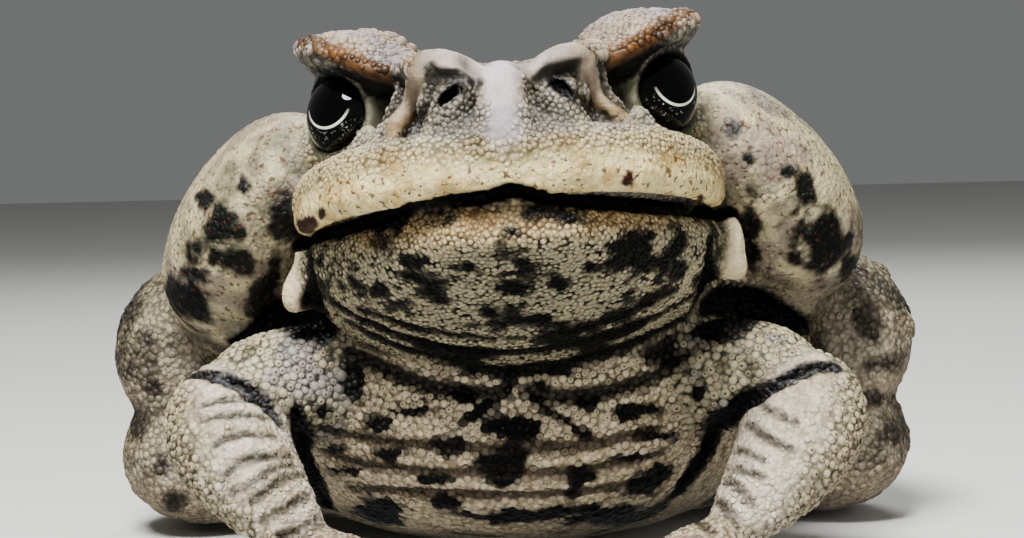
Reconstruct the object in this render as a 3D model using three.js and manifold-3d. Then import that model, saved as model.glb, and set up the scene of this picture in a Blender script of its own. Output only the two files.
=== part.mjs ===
// A life-size cane toad (Rhinella marina) sitting upright and facing -Y, in millimetres with +Z up.
// Each body part is a closed shape in its own mesh. Parts that touch are cut 0.3 mm clear of each other.
import * as THREE from 'three';
import { mergeVertices } from 'three/addons/utils/BufferGeometryUtils.js';
import Module from 'manifold-3d';

const wasm = await Module();
wasm.setup();

// Driving sizes
const MOUTH_HALF_WIDTH = 29.5; // half the width between the corners of the mouth, which lie at y = 0
const SNOUT_REACH = 35; // from the corners of the mouth forward to the lip
const MOUTH_HEIGHT = 45.5; // height of the corners of the mouth
const LIP_RISE = 6; // the middle of the lip stands this much over the corners
const BODY_HALF_WIDTH = 49; // the trunk at its widest
const BODY_END = 98; // the rump
const EYE_RADIUS = 6.1;
const EYE_CENTRE = [19.4, -11.5, 62]; // the toad's left eye, mirrored for the right one
const HEAD_ROLL = 2.8; // degrees that the head leans over to its right
const JOINT_GAP = 0.3; // clear space between two parts that touch
const WART_SINK = 0.42; // share of a wart's radius that its middle lies under the skin
const TRIES_PER_WART = 12; // how often a free place is looked for
const GROUND_DEPTH = 40; // the block of ground that flattens the soles
const GROUND_WIDTH = 400;

const RIGHT = -1; // the toad's own right side is at -X
const LEFT = 1;
const SIDES = [['right', RIGHT], ['left', LEFT]];

const headFrame = new THREE.Matrix4()
  .makeTranslation(0, 0, MOUTH_HEIGHT)
  .multiply(new THREE.Matrix4().makeRotationY(THREE.MathUtils.degToRad(-HEAD_ROLL)))
  .multiply(new THREE.Matrix4().makeTranslation(0, 0, -MOUTH_HEIGHT));

// Turns a closed geometry into a solid for cutting and joining.
function solidOf(geometry) {
  const bare = new THREE.BufferGeometry();
  bare.setAttribute('position', geometry.getAttribute('position'));
  if (geometry.index) bare.setIndex(geometry.index);
  const welded = mergeVertices(bare, 1e-4);
  const solid = new wasm.Manifold(new wasm.Mesh({
    numProp: 3,
    vertProperties: new Float32Array(welded.getAttribute('position').array),
    triVerts: new Uint32Array(welded.index.array),
  }));
  return solid;
}

// Reads a value between evenly spaced stations, smoothly, at t from 0 to 1.
function between(stations, t) {
  const place = THREE.MathUtils.clamp(t, 0, 1) * (stations.length - 1);
  const k = Math.min(Math.floor(place), stations.length - 2);
  const at = (i) => stations[THREE.MathUtils.clamp(i, 0, stations.length - 1)];
  const f = place - k;
  const [a, b, c, d] = [at(k - 1), at(k), at(k + 1), at(k + 2)];
  return b + 0.5 * f * (c - a + f * (2 * a - 5 * b + 4 * c - d + f * (3 * (b - c) + d - a)));
}

const power = (v, p) => Math.sign(v) * Math.abs(v) ** p;

// A loft is a closed skin round a path. A section is [half width, reach over the path, reach under it].
// bluntness 1 gives an egg's ends and 0.3 blunt ones. squareness 1 is an ellipse, and less is boxier.
// pinch is the share of the width that is lost at the top of a section.
// This gives a point of the skin at t along the path, in the direction (across, over) from it.
function loftPoint(shape, t, across, over, grow = 0) {
  const { path, sections, bluntness = 0.5, squareness = 1, pinch = 0, up = [0, 0, 1] } = shape;
  const curve = new THREE.CatmullRomCurve3(path.map((p) => new THREE.Vector3(...p)), false, 'centripetal');
  const ring = 2 * Math.sqrt(Math.max(0, t * (1 - t)));
  const taper = ring ** bluntness;
  const tangent = curve.getTangentAt(t);
  const side = new THREE.Vector3().crossVectors(new THREE.Vector3(...up), tangent).normalize();
  const top = new THREE.Vector3().crossVectors(tangent, side);
  const skinGrow = grow * Math.min(1, ring * 4);
  const width = between(sections.map((s) => s[0]), t) * taper + skinGrow;
  const height = between(sections.map((s) => s[over > 0 ? 1 : 2] ?? s[1]), t) * taper + skinGrow;
  return curve.getPointAt(t)
    .addScaledVector(tangent, (2 * t - 1) * grow)
    .addScaledVector(side, power(across, squareness) * width * (1 - pinch * Math.max(0, over)))
    .addScaledVector(top, power(over, squareness) * height);
}

function loft(shape, grow = 0) {
  const geometry = new THREE.SphereGeometry(1, shape.around ?? 16, shape.along ?? 10);
  const position = geometry.getAttribute('position');
  for (let i = 0; i < position.count; i += 1) {
    const [x, y, z] = [position.getX(i), position.getY(i), position.getZ(i)];
    const ring = Math.hypot(x, z);
    const [across, over] = ring > 1e-6 ? [x / ring, z / ring] : [0, 0];
    const point = loftPoint(shape, (1 - y) / 2, across, over, grow);
    position.setXYZ(i, point.x, point.y, point.z);
  }
  return solidOf(geometry);
}

// A ball, stretched to three radii and turned, at a place.
function egg({ centre, radii, turn = [0, 0, 0], around = 12, along = 8 }, grow = 0) {
  const geometry = new THREE.SphereGeometry(1, around, along);
  geometry.scale(...radii.map((r) => r + grow));
  const euler = new THREE.Euler(...turn.map(THREE.MathUtils.degToRad), 'ZYX');
  geometry.applyMatrix4(new THREE.Matrix4().makeRotationFromEuler(euler));
  geometry.translate(...centre);
  return solidOf(geometry);
}

// A repeatable draw of numbers from 0 to 1
function dice(seed) {
  let state = seed;
  return () => {
    state = (state * 1664525 + 1013904223) % 4294967296;
    return state / 4294967296;
  };
}

// Round warts on a loft's skin, sunk to their shoulders and kept apart from one another
function warts(shape, { count, seed, span, arc, size, spacing }, grow = 0) {
  const draw = dice(seed);
  const places = [];
  for (let k = 0; k < count * TRIES_PER_WART && places.length < count; k += 1) {
    const t = THREE.MathUtils.lerp(...span, draw());
    const angle = THREE.MathUtils.degToRad(THREE.MathUtils.lerp(...arc, draw()));
    const radius = THREE.MathUtils.lerp(...size, draw() ** 1.6);
    const at = loftPoint(shape, t, Math.cos(angle), Math.sin(angle), -WART_SINK * radius);
    const free = places.every((p) => p.at.distanceTo(at) > (p.radius + radius) * spacing);
    if (free) places.push({ at, radius });
  }
  return places.map(({ at, radius }) => solidOf(
    new THREE.IcosahedronGeometry(radius + grow, 0).translate(at.x, at.y, at.z),
  ));
}

const block = (size, centre) => solidOf(new THREE.BoxGeometry(...size).translate(...centre));
const joined = (pieces) => pieces.reduce((whole, piece) => whole.add(piece));
const mirrored = (points, side) => points.map(([x, y, z]) => [x * side, y, z]);
const turned = (solid) => solid.transform(headFrame.elements);

// The largest closed body of a cut solid, without the scraps.
function largest(solid) {
  const bodies = solid.decompose();
  return bodies.reduce((best, body) => (body.volume() > best.volume() ? body : best));
}

// Height of the line of the mouth, from its middle back to its corners
function mouthHeight(y) {
  const share = THREE.MathUtils.clamp(-y / SNOUT_REACH, 0, 1);
  return MOUTH_HEIGHT + LIP_RISE * share ** 1.3;
}

// The upper head: a broad wedge with the lip, the eyelids and the bony ridges fused on
const HEAD = {
  path: [[0, -SNOUT_REACH + 0.4, 52], [0, -16, 51], [0, 3, 50], [0, 22, 50]],
  sections: [[13.4, 13, 1.5], [17.4, 14.8, 2.6], [22, 16, 3.6], [25.4, 17, 4.6], [27.6, 17.8, 5.2],
    [29, 18.2, 5.8], [29.6, 18, 6], [29.6, 17, 6], [29, 15, 6]],
  around: 24,
  along: 16,
  bluntness: 0.42,
  pinch: 0.3,
};

// The lip is a soft roll along the line of the mouth.
const lipPath = () => {
  const steps = 12;
  return Array.from({ length: steps + 1 }, (_, k) => {
    const angle = (k / steps) * Math.PI;
    const y = 1 - (SNOUT_REACH - 1.2) * Math.sin(angle) ** 0.86;
    return [-(MOUTH_HALF_WIDTH - 2.1) * Math.sign(Math.cos(angle)) * Math.abs(Math.cos(angle)) ** 0.8,
      y, mouthHeight(y) + 2.4];
  });
};
const LIP = { path: lipPath(), sections: [[1.8, 2.1], [2.2, 2.6], [2.4, 2.9], [2.2, 2.6], [1.8, 2.1]],
  around: 6, along: 18, bluntness: 0.3 };

// Ridges, lids and openings of the head's +X side, mirrored for the other side
const BROW_RIM = { path: [[10.8, -20, 65.2], [15.2, -20.6, 67.2], [20.4, -18, 69.7], [24.7, -12.2, 71.6],
  [24.2, -5.4, 71], [20.4, 1, 69]], sections: [[1, 1], [1.3, 1.4], [1.4, 1.4], [1.4, 1.4], [1, 1]],
around: 6, along: 12, bluntness: 0.4 };
const BROW_LID = { path: [[13.4, -20, 66.2], [17, -12, 68.6], [17.4, -4, 68.8], [15, 4.6, 67.4]],
  sections: [[5.4, 2.6, 3], [8.8, 3.8, 4], [9.6, 4.6, 4], [8.6, 4, 4], [5.4, 2.6, 3]],
  around: 14, along: 8, bluntness: 0.45, up: [-0.34, 0, 0.94] };
const CANTHAL_RIDGE = { path: [[3, -32.2, 64.8], [6.6, -30.6, 66.4], [10.4, -25.4, 67.2],
  [13.2, -18.6, 67.8]],
  sections: [[1.3, 1.3], [1.9, 1.7], [2.1, 1.9], [1.8, 1.4]], around: 7, along: 7 };
const CHEEK_RIDGE = { path: [[11, -21.6, 66], [12.8, -23.6, 61.6], [15.4, -22.6, 57.4],
  [19.8, -18.4, 54.2]],
  sections: [[1.7, 1.8], [2.2, 2.1], [2, 1.9], [1.3, 1.2]], around: 7, along: 7 };
const LOWER_LID = { path: [[16.8, -20.4, 61], [18.4, -18.6, 57.6], [22, -13.4, 55.2], [22.4, -6.6, 56.4],
  [20.4, -3, 60]],
  sections: [[1.6, 2], [2.2, 2.2], [2, 1.7], [1.9, 1.7], [1.4, 1.6]], around: 6, along: 10, bluntness: 0.4 };
const EYE_OPENING = { centre: [25.6, -15.4, 62.4], radii: [6.4, 7.6, 6.6], around: 12, along: 8 };
const NOSTRIL_MOUND = { centre: [6.8, -27.4, 61.8], radii: [3.6, 3.4, 4.2], around: 10, along: 7 };
const NOSTRIL = { centre: [6.9, -33.2, 63.2], radii: [1.7, 4.2, 0.75], turn: [0, 38, -14],
  around: 10, along: 6 };
const EARDRUM = { centre: [25.4, 4.4, 57.6], radii: [2.2, 3.2, 3.8], around: 12, along: 6 };
const SNOUT_KEEL = { path: [[0, -27, 66.4], [0, -32.4, 62.8], [0, -34.4, 57], [0, -34.6, 53.6]],
  sections: [[2.4, 1.2], [3.2, 1.5], [3.8, 1.4], [2.8, 0.8]], around: 7, along: 6 };

const pair = (shape, side) => ({
  ...shape,
  ...(shape.path && { path: mirrored(shape.path, side) }),
  ...(shape.centre && { centre: mirrored([shape.centre], side)[0] }),
  ...(shape.up && { up: mirrored([shape.up], side)[0] }),
  ...(shape.turn && { turn: [shape.turn[0], shape.turn[1] * side, shape.turn[2] * side] }),
});

function eye(side, grow = 0) {
  return turned(egg({ centre: mirrored([EYE_CENTRE], side)[0], radii: Array(3).fill(EYE_RADIUS),
    around: 14, along: 10 }, grow));
}

function head(grow = 0) {
  const pieces = [loft(HEAD, grow), loft(LIP, grow), loft(SNOUT_KEEL, grow)];
  for (const [, side] of SIDES) {
    pieces.push(
      loft(pair(BROW_RIM, side), grow),
      loft(pair(BROW_LID, side), grow),
      loft(pair(CANTHAL_RIDGE, side), grow),
      loft(pair(CHEEK_RIDGE, side), grow),
      loft(pair(LOWER_LID, side), grow),
      egg(pair(NOSTRIL_MOUND, side), grow),
      egg(pair(EARDRUM, side), grow),
    );
  }
  let whole = joined(pieces);
  if (grow === 0) {
    for (const [, side] of SIDES) {
      whole = whole.subtract(egg(pair(NOSTRIL, side))).subtract(egg(pair(EYE_OPENING, side)));
    }
  }
  return turned(whole);
}

// The lower jaw and the loose pouch of the throat under it
const JAW = {
  path: [[0, -SNOUT_REACH + 2.4, 45.5], [0, -14, 44], [0, 5, 43], [0, 24, 42]],
  sections: [[13.4, 8, 1.5], [17, 8, 5.5], [21.6, 7, 9.6], [25.4, 6, 13], [27.6, 5, 15.6], [28.8, 5, 17],
    [29, 5, 17], [28, 5, 16], [26, 5, 14]],
  around: 20,
  along: 11,
  bluntness: 0.42,
  squareness: 0.94,
};

// A long soft wart that hangs from each corner of the mouth
const GAPE_WART = { path: [[29.2, 3, 45.4], [30.2, 0.8, 42], [30.2, -0.4, 38.6], [30, -0.8, 34.6]],
  sections: [[1.6, 1.6], [1.5, 1.5], [2.1, 2.1], [2.7, 2.7], [2, 2]], around: 10, along: 8,
  bluntness: 0.5, up: [0, 1, 0] };

// The poison gland that hangs from behind the eye over the shoulder. Its section leans with the flank.
const PAROTOID = { path: [[27.4, 3, 58.6], [33, 14, 52.4], [37.6, 28, 45.8], [39.4, 46, 40.4]],
  sections: [[10, 7, 8], [15, 9.8, 11], [16.8, 10.8, 13], [15, 9.6, 13], [9, 7, 9]],
  around: 16, along: 11, bluntness: 0.5, squareness: 0.92, up: [0.788, 0, 0.615] };

const UPPER_ARM = { path: [[22, 10, 25.4], [32, 5.6, 25], [41.6, 4.8, 25.4]],
  sections: [[8.6, 8.4], [7.6, 7.4], [6.6, 7]], around: 14, along: 9, bluntness: 0.45, up: [0, 1, 0] };
const FOREARM = { path: [[42.4, 4.6, 26.6], [38.4, -2.6, 17.6], [31.6, -8.8, 9.6], [26.8, -12.6, 5.2]],
  sections: [[6, 6.2], [8.4, 7.8], [8, 7.2], [6.6, 5.8], [5.4, 4.8]],
  around: 16, along: 10, bluntness: 0.45 };
const PALM = { path: [[27, -12.4, 4.8], [21.4, -17.6, 3], [17, -21, 2.2]],
  sections: [[5.2, 4.6], [6.6, 3.6], [6, 2.2]], around: 12, along: 6, bluntness: 0.4 };
// The four fingers and five toes of the +X side, each from its root to its tip
const FINGERS = [[[19, -17, 2.6], [11, -17.6, 2.2], [3.6, -18, 1.4]],
  [[18.4, -20, 2.4], [11.6, -24.4, 2.2], [6, -27.6, 1.4]],
  [[19, -21.4, 2.4], [16, -28, 2.2], [13.2, -34.6, 1.4]],
  [[22, -20, 2.4], [23.6, -26.6, 2.2], [24.6, -32, 1.4]]];
const DIGIT = { sections: [[2.3, 2.2], [1.9, 1.9], [1.7, 1.6], [1.9, 1.5]],
  around: 6, along: 5, bluntness: 0.4 };

const THIGH = { path: [[20, 82, 25], [38, 67, 27.6], [47, 47, 27.4], [48, 31, 24.6]],
  sections: [[13, 12], [14, 14], [14.4, 14.6], [13, 14.4]], around: 14, along: 10, bluntness: 0.46 };
const SHANK = { path: [[48, 30, 12.4], [48, 50, 11], [42, 70, 10], [36, 87, 8.6]],
  sections: [[10.6, 10.4], [12.4, 10.8], [10.6, 9.8], [6.6, 7.4]], around: 12, along: 8, bluntness: 0.42 };
const SOLE = { path: [[36, 88, 4.6], [39, 74, 3.4], [41, 60, 3], [40.6, 50, 2.6]],
  sections: [[5, 4.6], [5.6, 3.4], [6.6, 3], [7, 2.4]], around: 12, along: 8, bluntness: 0.4 };
const TOES = [[[36, 56, 2.6], [30, 48, 2.2], [26, 41, 1.4]],
  [[37.6, 53, 2.6], [33.4, 42, 2.2], [30, 34, 1.4]],
  [[39.4, 52, 2.6], [38, 38, 2.2], [35.6, 28, 1.4]],
  [[41.6, 52, 2.6], [42.4, 40, 2.2], [41.4, 31, 1.4]],
  [[43.6, 54, 2.6], [46.4, 45, 2.2], [47, 38, 1.4]]];

// The trunk from the chest to the rump
const TRUNK = { path: [[0, -4, 26], [0, 30, 27], [0, 64, 24], [0, BODY_END, 14]],
  sections: [[29, 20, 25], [36, 33, 28], [43, 39, 28.6], [47.6, 38, 28.4], [BODY_HALF_WIDTH, 34, 27.4],
    [47.4, 30, 25.6], [42, 26, 23.6], [34, 20, 20], [22, 12, 14]],
  around: 22, along: 13, bluntness: 0.46, squareness: 0.94 };

// Where warts stand. An arc is in degrees from the shape's +X side over its top.
const TRUNK_WARTS = { count: 32, seed: 11, span: [0.3, 0.93], arc: [14, 166],
  size: [1.4, 3], spacing: 1.6 };
const THIGH_WARTS = { count: 7, seed: 5, span: [0.3, 0.9], arc: [-30, 130],
  size: [0.9, 1.8], spacing: 1.8 };
const SHANK_WARTS = { count: 5, seed: 8, span: [0.15, 0.75], arc: [-30, 40],
  size: [0.9, 1.6], spacing: 1.8 };

const limb = (shape, side, grow = 0) => loft(pair(shape, side), grow);
const digits = (paths, side, grow = 0) => paths.map(
  (path) => loft({ ...DIGIT, path: mirrored(path, side) }, grow),
);
const warted = (shape, patch, side, grow = 0) => joined([limb(shape, side, grow),
  ...warts(pair(shape, side), side === LEFT ? patch
    : { ...patch, seed: patch.seed + 1, arc: patch.arc.map((a) => 180 - a) }, grow)]);
const hand = (side, grow = 0) => joined([limb(PALM, side, grow), ...digits(FINGERS, side, grow)]);
const foot = (side, grow = 0) => joined([limb(SOLE, side, grow), ...digits(TOES, side, grow)]);

// Parts in the order in which they keep their full shape: each is cut clear of those before it.
const makers = [];
const addPair = (part, make, finish) => SIDES.forEach(([name, side]) => {
  makers.push([`${part}_${name}`, (grow) => make(side, grow), finish]);
});
addPair('eye', eye, 'eye');
makers.push(['head', head, 'hide']);
makers.push(['lower_jaw', (grow) => turned(loft(JAW, grow)), 'throat']);
addPair('gape_wart', (side, grow) => turned(limb(GAPE_WART, side, grow)), 'gland');
addPair('parotoid', (side, grow) => turned(limb(PAROTOID, side, grow)), 'gland');
addPair('hand', hand, 'hide');
addPair('forearm', (side, grow) => limb(FOREARM, side, grow), 'hide');
addPair('upper_arm', (side, grow) => limb(UPPER_ARM, side, grow), 'hide');
addPair('foot', foot, 'hide');
addPair('shank', (side, grow) => warted(SHANK, SHANK_WARTS, side, grow), 'hide');
addPair('thigh', (side, grow) => warted(THIGH, THIGH_WARTS, side, grow), 'hide');
makers.push(['trunk', () => joined([loft(TRUNK), ...warts(TRUNK, TRUNK_WARTS)]), 'belly']);

const finishes = {
  hide: new THREE.MeshStandardMaterial({ color: 0xa39a86, roughness: 0.62 }),
  throat: new THREE.MeshStandardMaterial({ color: 0x6d6650, roughness: 0.6 }),
  gland: new THREE.MeshStandardMaterial({ color: 0xc9bfa6, roughness: 0.58 }),
  belly: new THREE.MeshStandardMaterial({ color: 0xb5a489, roughness: 0.62 }),
  eye: new THREE.MeshStandardMaterial({ color: 0x090807, roughness: 0.06 }),
};

const ground = block([GROUND_WIDTH, GROUND_WIDTH, GROUND_DEPTH], [0, BODY_END / 2, -GROUND_DEPTH / 2]);
const toad = new THREE.Group();
const placed = [];
for (const [name, make, finish] of makers) {
  let solid = make(0).subtract(ground);
  for (const other of placed) {
    solid = solid.subtract(other);
  }
  solid = largest(solid);
  placed.push(make(JOINT_GAP));
  const { vertProperties, triVerts } = solid.getMesh();
  const geometry = new THREE.BufferGeometry();
  geometry.setAttribute('position', new THREE.BufferAttribute(new Float32Array(vertProperties), 3));
  geometry.setIndex(new THREE.BufferAttribute(new Uint32Array(triVerts), 1));
  geometry.computeVertexNormals();
  const mesh = new THREE.Mesh(geometry, finishes[finish]);
  mesh.name = name;
  toad.add(mesh);
}

// The origin is on the ground in the middle of the footprint box.
const footprint = new THREE.Box3().setFromObject(toad);
const middle = footprint.getCenter(new THREE.Vector3());
toad.position.set(-middle.x, -middle.y, -footprint.min.z);

export default toad;
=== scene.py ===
import math

import bpy
import numpy as np
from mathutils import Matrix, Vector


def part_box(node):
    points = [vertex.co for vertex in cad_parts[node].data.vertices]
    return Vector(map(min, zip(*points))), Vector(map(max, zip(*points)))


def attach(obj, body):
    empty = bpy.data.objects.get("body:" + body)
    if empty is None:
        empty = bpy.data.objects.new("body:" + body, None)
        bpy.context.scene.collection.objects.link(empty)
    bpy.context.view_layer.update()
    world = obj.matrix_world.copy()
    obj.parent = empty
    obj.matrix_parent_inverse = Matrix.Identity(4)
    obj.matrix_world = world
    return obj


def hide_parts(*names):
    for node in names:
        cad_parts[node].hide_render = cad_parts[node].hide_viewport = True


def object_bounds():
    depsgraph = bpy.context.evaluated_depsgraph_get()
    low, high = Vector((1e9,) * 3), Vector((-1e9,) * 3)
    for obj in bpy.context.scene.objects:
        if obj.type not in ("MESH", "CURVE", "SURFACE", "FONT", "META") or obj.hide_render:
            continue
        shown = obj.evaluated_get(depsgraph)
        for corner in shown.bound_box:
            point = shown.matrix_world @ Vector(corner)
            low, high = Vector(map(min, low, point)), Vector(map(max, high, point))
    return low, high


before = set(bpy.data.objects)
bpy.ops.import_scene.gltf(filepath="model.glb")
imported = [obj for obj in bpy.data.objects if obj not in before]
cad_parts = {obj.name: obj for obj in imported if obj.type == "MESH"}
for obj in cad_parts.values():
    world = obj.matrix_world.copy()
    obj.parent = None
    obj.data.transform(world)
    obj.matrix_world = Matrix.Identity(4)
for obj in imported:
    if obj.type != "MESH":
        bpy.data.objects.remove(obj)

import openvdb as vdb
from mathutils import Matrix, Vector

cadLow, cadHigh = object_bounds()

# A cane toad, life size. The skin is modelled in toad millimetres: x to the toad's left, z up,
# and y is 0 at the corners of the mouth with the snout at negative y.
millimetre = 0.001
sides = {"right": -1, "left": 1}
head = {"roll": 2.8, "pivot": 45.5}  # the head leans over to its right, in degrees
eyes = {"radius": 6.1, "ahead": 11.5}  # mm, and how far the balls stand ahead of the mouth's corners
view = {"place": (0, -382, 57), "pitch": 2.5, "roll": 1.3, "lens": 100, "sensor": 36,
        "wide": 1024, "high": 538, "clip": (0.01, 20)}  # the photograph's camera, in mm and degrees


def middleOf(node):
    low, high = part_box(node)
    return (np.array(low) + np.array(high)) / 2


mouthCorners = np.array([0, (middleOf("eye_right")[1] + middleOf("eye_left")[1]) / 2
                         + eyes["ahead"] * millimetre, 0])


def toFrame(points):
    return np.asarray(points) * millimetre + mouthCorners


def toToad(points):
    return (np.asarray(points) - mouthCorners) / millimetre


def turnHead(points, turn=-1):  # -1 leans points with the head, 1 takes the lean away
    angle = math.radians(head["roll"]) * turn
    points = np.array(points, float)
    x, z = points[..., 0].copy(), points[..., 2] - head["pivot"]
    points[..., 0] = x * math.cos(angle) + z * math.sin(angle)
    points[..., 2] = z * math.cos(angle) - x * math.sin(angle) + head["pivot"]
    return points


def mirrored(points, side):
    return np.array(points, float) * (side, 1, 1)


def ramp(value, low, high):  # 0 below low, 1 above high and smooth between
    t = np.clip((value - low) / (high - low), 0, 1)
    return t * t * (3 - 2 * t)


def melt(a, b, soft):  # the lower of two distances, rounded where they meet
    t = np.clip(0.5 + 0.5 * (b - a) / soft, 0, 1)
    return b * (1 - t) + a * t - soft * t * (1 - t)


def unit(vectors):
    vectors = np.asarray(vectors, float)
    return vectors / np.maximum(np.linalg.norm(vectors, axis=-1, keepdims=True), 1e-9)


def curveThrough(points, steps=4):  # a smooth line through a few points
    points = np.asarray(points, float)
    ends = np.vstack([2 * points[0] - points[1], points, 2 * points[-1] - points[-2]])
    line = []
    for k in range(len(points) - 1):
        a, b, c, d = ends[k:k + 4]
        for t in np.arange(steps) / steps:
            line.append(b + 0.5 * t * (c - a + t * (2 * a - 5 * b + 4 * c - d + t * (3 * (b - c) + d - a))))
    line.append(points[-1])
    return np.array(line)


def distanceTo(points, line, radii):  # from points to a rod along a line with a radius at each point
    best = np.full(points.shape[:-1], 1e9, np.float32)
    for k in range(len(line) - 1):
        span = line[k + 1] - line[k]
        t = np.clip(((points - line[k]) @ span) / max(span @ span, 1e-9), 0, 1)
        off = points - line[k] - t[..., None] * span
        best = np.minimum(best, np.sqrt((off * off).sum(-1)) - (radii[k] + (radii[k + 1] - radii[k]) * t))
    return best


def lineRadii(line, radii):
    return np.interp(np.linspace(0, 1, len(line)), np.linspace(0, 1, len(radii)), radii)


def betweenCorners(block, i, f):  # a block's value at fractions past its places, going round at its sides
    total = 0
    for corner in np.ndindex(2, 2, 2):
        share = np.prod([f[..., k] if corner[k] else 1 - f[..., k] for k in range(3)], axis=0)
        total = total + share * block[tuple((i[..., k] + corner[k]) % block.shape[k] for k in range(3))]
    return total


# The photograph's camera, both ways
tilt, lean = math.radians(view["pitch"]), math.radians(view["roll"])
focal = view["lens"] / view["sensor"] * view["wide"]


def toPhoto(points):  # pixels of points, and how far off they are
    q = np.asarray(points, float) - view["place"]
    far = q[..., 1] * math.cos(tilt) - q[..., 2] * math.sin(tilt)
    u = focal * q[..., 0] / far
    v = focal * (q[..., 1] * math.sin(tilt) + q[..., 2] * math.cos(tilt)) / far
    return (view["wide"] / 2 + u * math.cos(lean) - v * math.sin(lean),
            view["high"] / 2 - u * math.sin(lean) - v * math.cos(lean), far)


def raysThrough(pixels):
    pixels = np.asarray(pixels, float)
    a, b = pixels[..., 0] - view["wide"] / 2, view["high"] / 2 - pixels[..., 1]
    u = (a * math.cos(lean) + b * math.sin(lean)) / focal
    v = (b * math.cos(lean) - a * math.sin(lean)) / focal
    return unit(np.stack([u, math.cos(tilt) + v * math.sin(tilt), v * math.cos(tilt) - math.sin(tilt)], -1))


# The toad's flesh as a block of distances to its skin, in mm, negative inside
class Clay:
    def __init__(self, low, high, voxel, band):
        self.low, self.voxel, self.band = np.asarray(low, float), voxel, band
        self.reach = voxel * band
        self.size = np.ceil((np.asarray(high) - low) / voxel).astype(int) + 1
        self.depth = np.full(self.size, self.reach, np.float32)

    def window(self, low, high, pad=0.0, step=1):  # the part of the block that holds a box
        first = np.floor((np.asarray(low) - pad - self.low) / self.voxel).astype(int)
        last = np.ceil((np.asarray(high) + pad - self.low) / self.voxel).astype(int) + 1
        first = np.clip(first, 0, self.size) // step * step
        last = np.clip(last, 0, self.size)
        return first, tuple(slice(a, b) for a, b in zip(first, last))

    def axis(self, k, cut=slice(None)):  # the places along one side, shaped to spread over the block
        values = (self.low[k] + self.voxel * np.arange(self.size[k]))[cut].astype(np.float32)
        return values.reshape([-1 if n == k else 1 for n in range(3)])

    def places(self, cut):  # the middle of each voxel of a window
        return np.stack(np.broadcast_arrays(*[self.axis(k, cut[k]) for k in range(3)]), -1)

    def shapeOf(self, points, triangles, step=1):  # a closed mesh as distances, in its own window
        first, cut = self.window(points.min(0), points.max(0), self.reach + self.voxel, step)
        grid = vdb.FloatGrid.createLevelSetFromPolygons(
            (points - self.low).astype(np.float32), triangles=triangles.astype(np.uint32),
            transform=vdb.createLinearTransform(voxelSize=self.voxel), halfWidth=float(self.band))
        block = np.empty([c.stop - c.start for c in cut], np.float32)
        grid.copyToArray(block, ijk=tuple(int(i) for i in first))
        return first, cut, block

    def blurred(self, width):
        reach = int(3 * width / self.voxel + 0.5)
        weights = np.exp(-0.5 * (np.arange(reach + 1) * self.voxel / width) ** 2).astype(np.float32)
        weights /= weights[0] + 2 * weights[1:].sum()
        block = self.depth
        for axis in range(3):
            total = block * weights[0]
            for k in range(1, reach + 1):
                total += weights[k] * (np.roll(block, k, axis) + np.roll(block, -k, axis))
            block = total
        return block

    def sample(self, points, block=None):  # the distance, or another block's value, at any points
        block = self.depth if block is None else block
        q = np.clip((points - self.low) / self.voxel, 0, self.size - 1.001)
        i = q.astype(int)
        return betweenCorners(block, i, q - i)

    def fromPhoto(self, pixels, depth=0.0):  # where the photograph's pixels meet the skin, or behind it
        rays = raysThrough(pixels)
        origin = np.array(view["place"], float)
        along = (self.low[1] - origin[1]) / rays[..., 1]
        closest, bestAlong = np.full(along.shape, 1e9), along.copy()
        for _ in range(march["steps"]):
            d = self.sample(origin + rays * along[..., None])
            nearer = (d < closest - march["gain"]) & (closest > march["touch"])
            closest, bestAlong = np.where(nearer, d, closest), np.where(nearer, along, bestAlong)
            along = along + np.clip(d, march["gain"], None) * march["pace"] * (d > 0.01)
        return origin + rays * (bestAlong + depth)[..., None]

    def rod(self, line, radii, soft=0.8, carve=False):
        line = np.asarray(line, float)
        radii = lineRadii(line, radii)
        cut = self.window(line.min(0), line.max(0), radii.max() + 2 * soft + 1)[1]
        shape = distanceTo(self.places(cut), line, radii)
        old = self.depth[cut]
        self.depth[cut] = -melt(-old, shape, soft) if carve else melt(old, shape, soft)

    def skin(self):  # the skin as points and quads
        grid = vdb.FloatGrid(self.reach)
        grid.copyFromArray(np.clip(self.depth, -self.reach, self.reach))
        points, _, quads = grid.convertToPolygons(isovalue=0.0, adaptivity=0.0)
        return points * self.voxel + self.low, quads


march = {"steps": 160, "gain": 0.02, "touch": 0.05, "pace": 0.8}


def readNode(name):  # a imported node's mesh, welded, in toad millimetres
    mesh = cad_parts[name].data
    mesh.calc_loop_triangles()
    points = np.empty(len(mesh.vertices) * 3, np.float32)
    mesh.vertices.foreach_get("co", points)
    corners = np.empty(len(mesh.loop_triangles) * 3, np.int32)
    mesh.loop_triangles.foreach_get("vertices", corners)
    points, places = np.unique(np.round(toToad(points.reshape(-1, 3)), 4), axis=0, return_inverse=True)
    return points, places.reshape(-1)[corners].reshape(-1, 3)


noiseTable = {"side": 32, "fade": 1.6, "gain": 1.5}


def drift(points, size, seed, layers=1):  # soft noise from about -1 to 1, of one size or one per axis
    total, weight = 0, 0
    n = noiseTable["side"]
    for layer in range(layers):
        table = np.random.default_rng(seed + layer).random((n, n, n), dtype=np.float32) * 2 - 1
        q = points / (np.asarray(size) / 2 ** layer)
        i = np.floor(q).astype(int)
        f = q - i
        value = betweenCorners(table, i, f * f * (3 - 2 * f))
        fade = noiseTable["fade"] ** layer
        total, weight = total + value / fade, weight + 1 / fade
    return total / weight * noiseTable["gain"]


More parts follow.
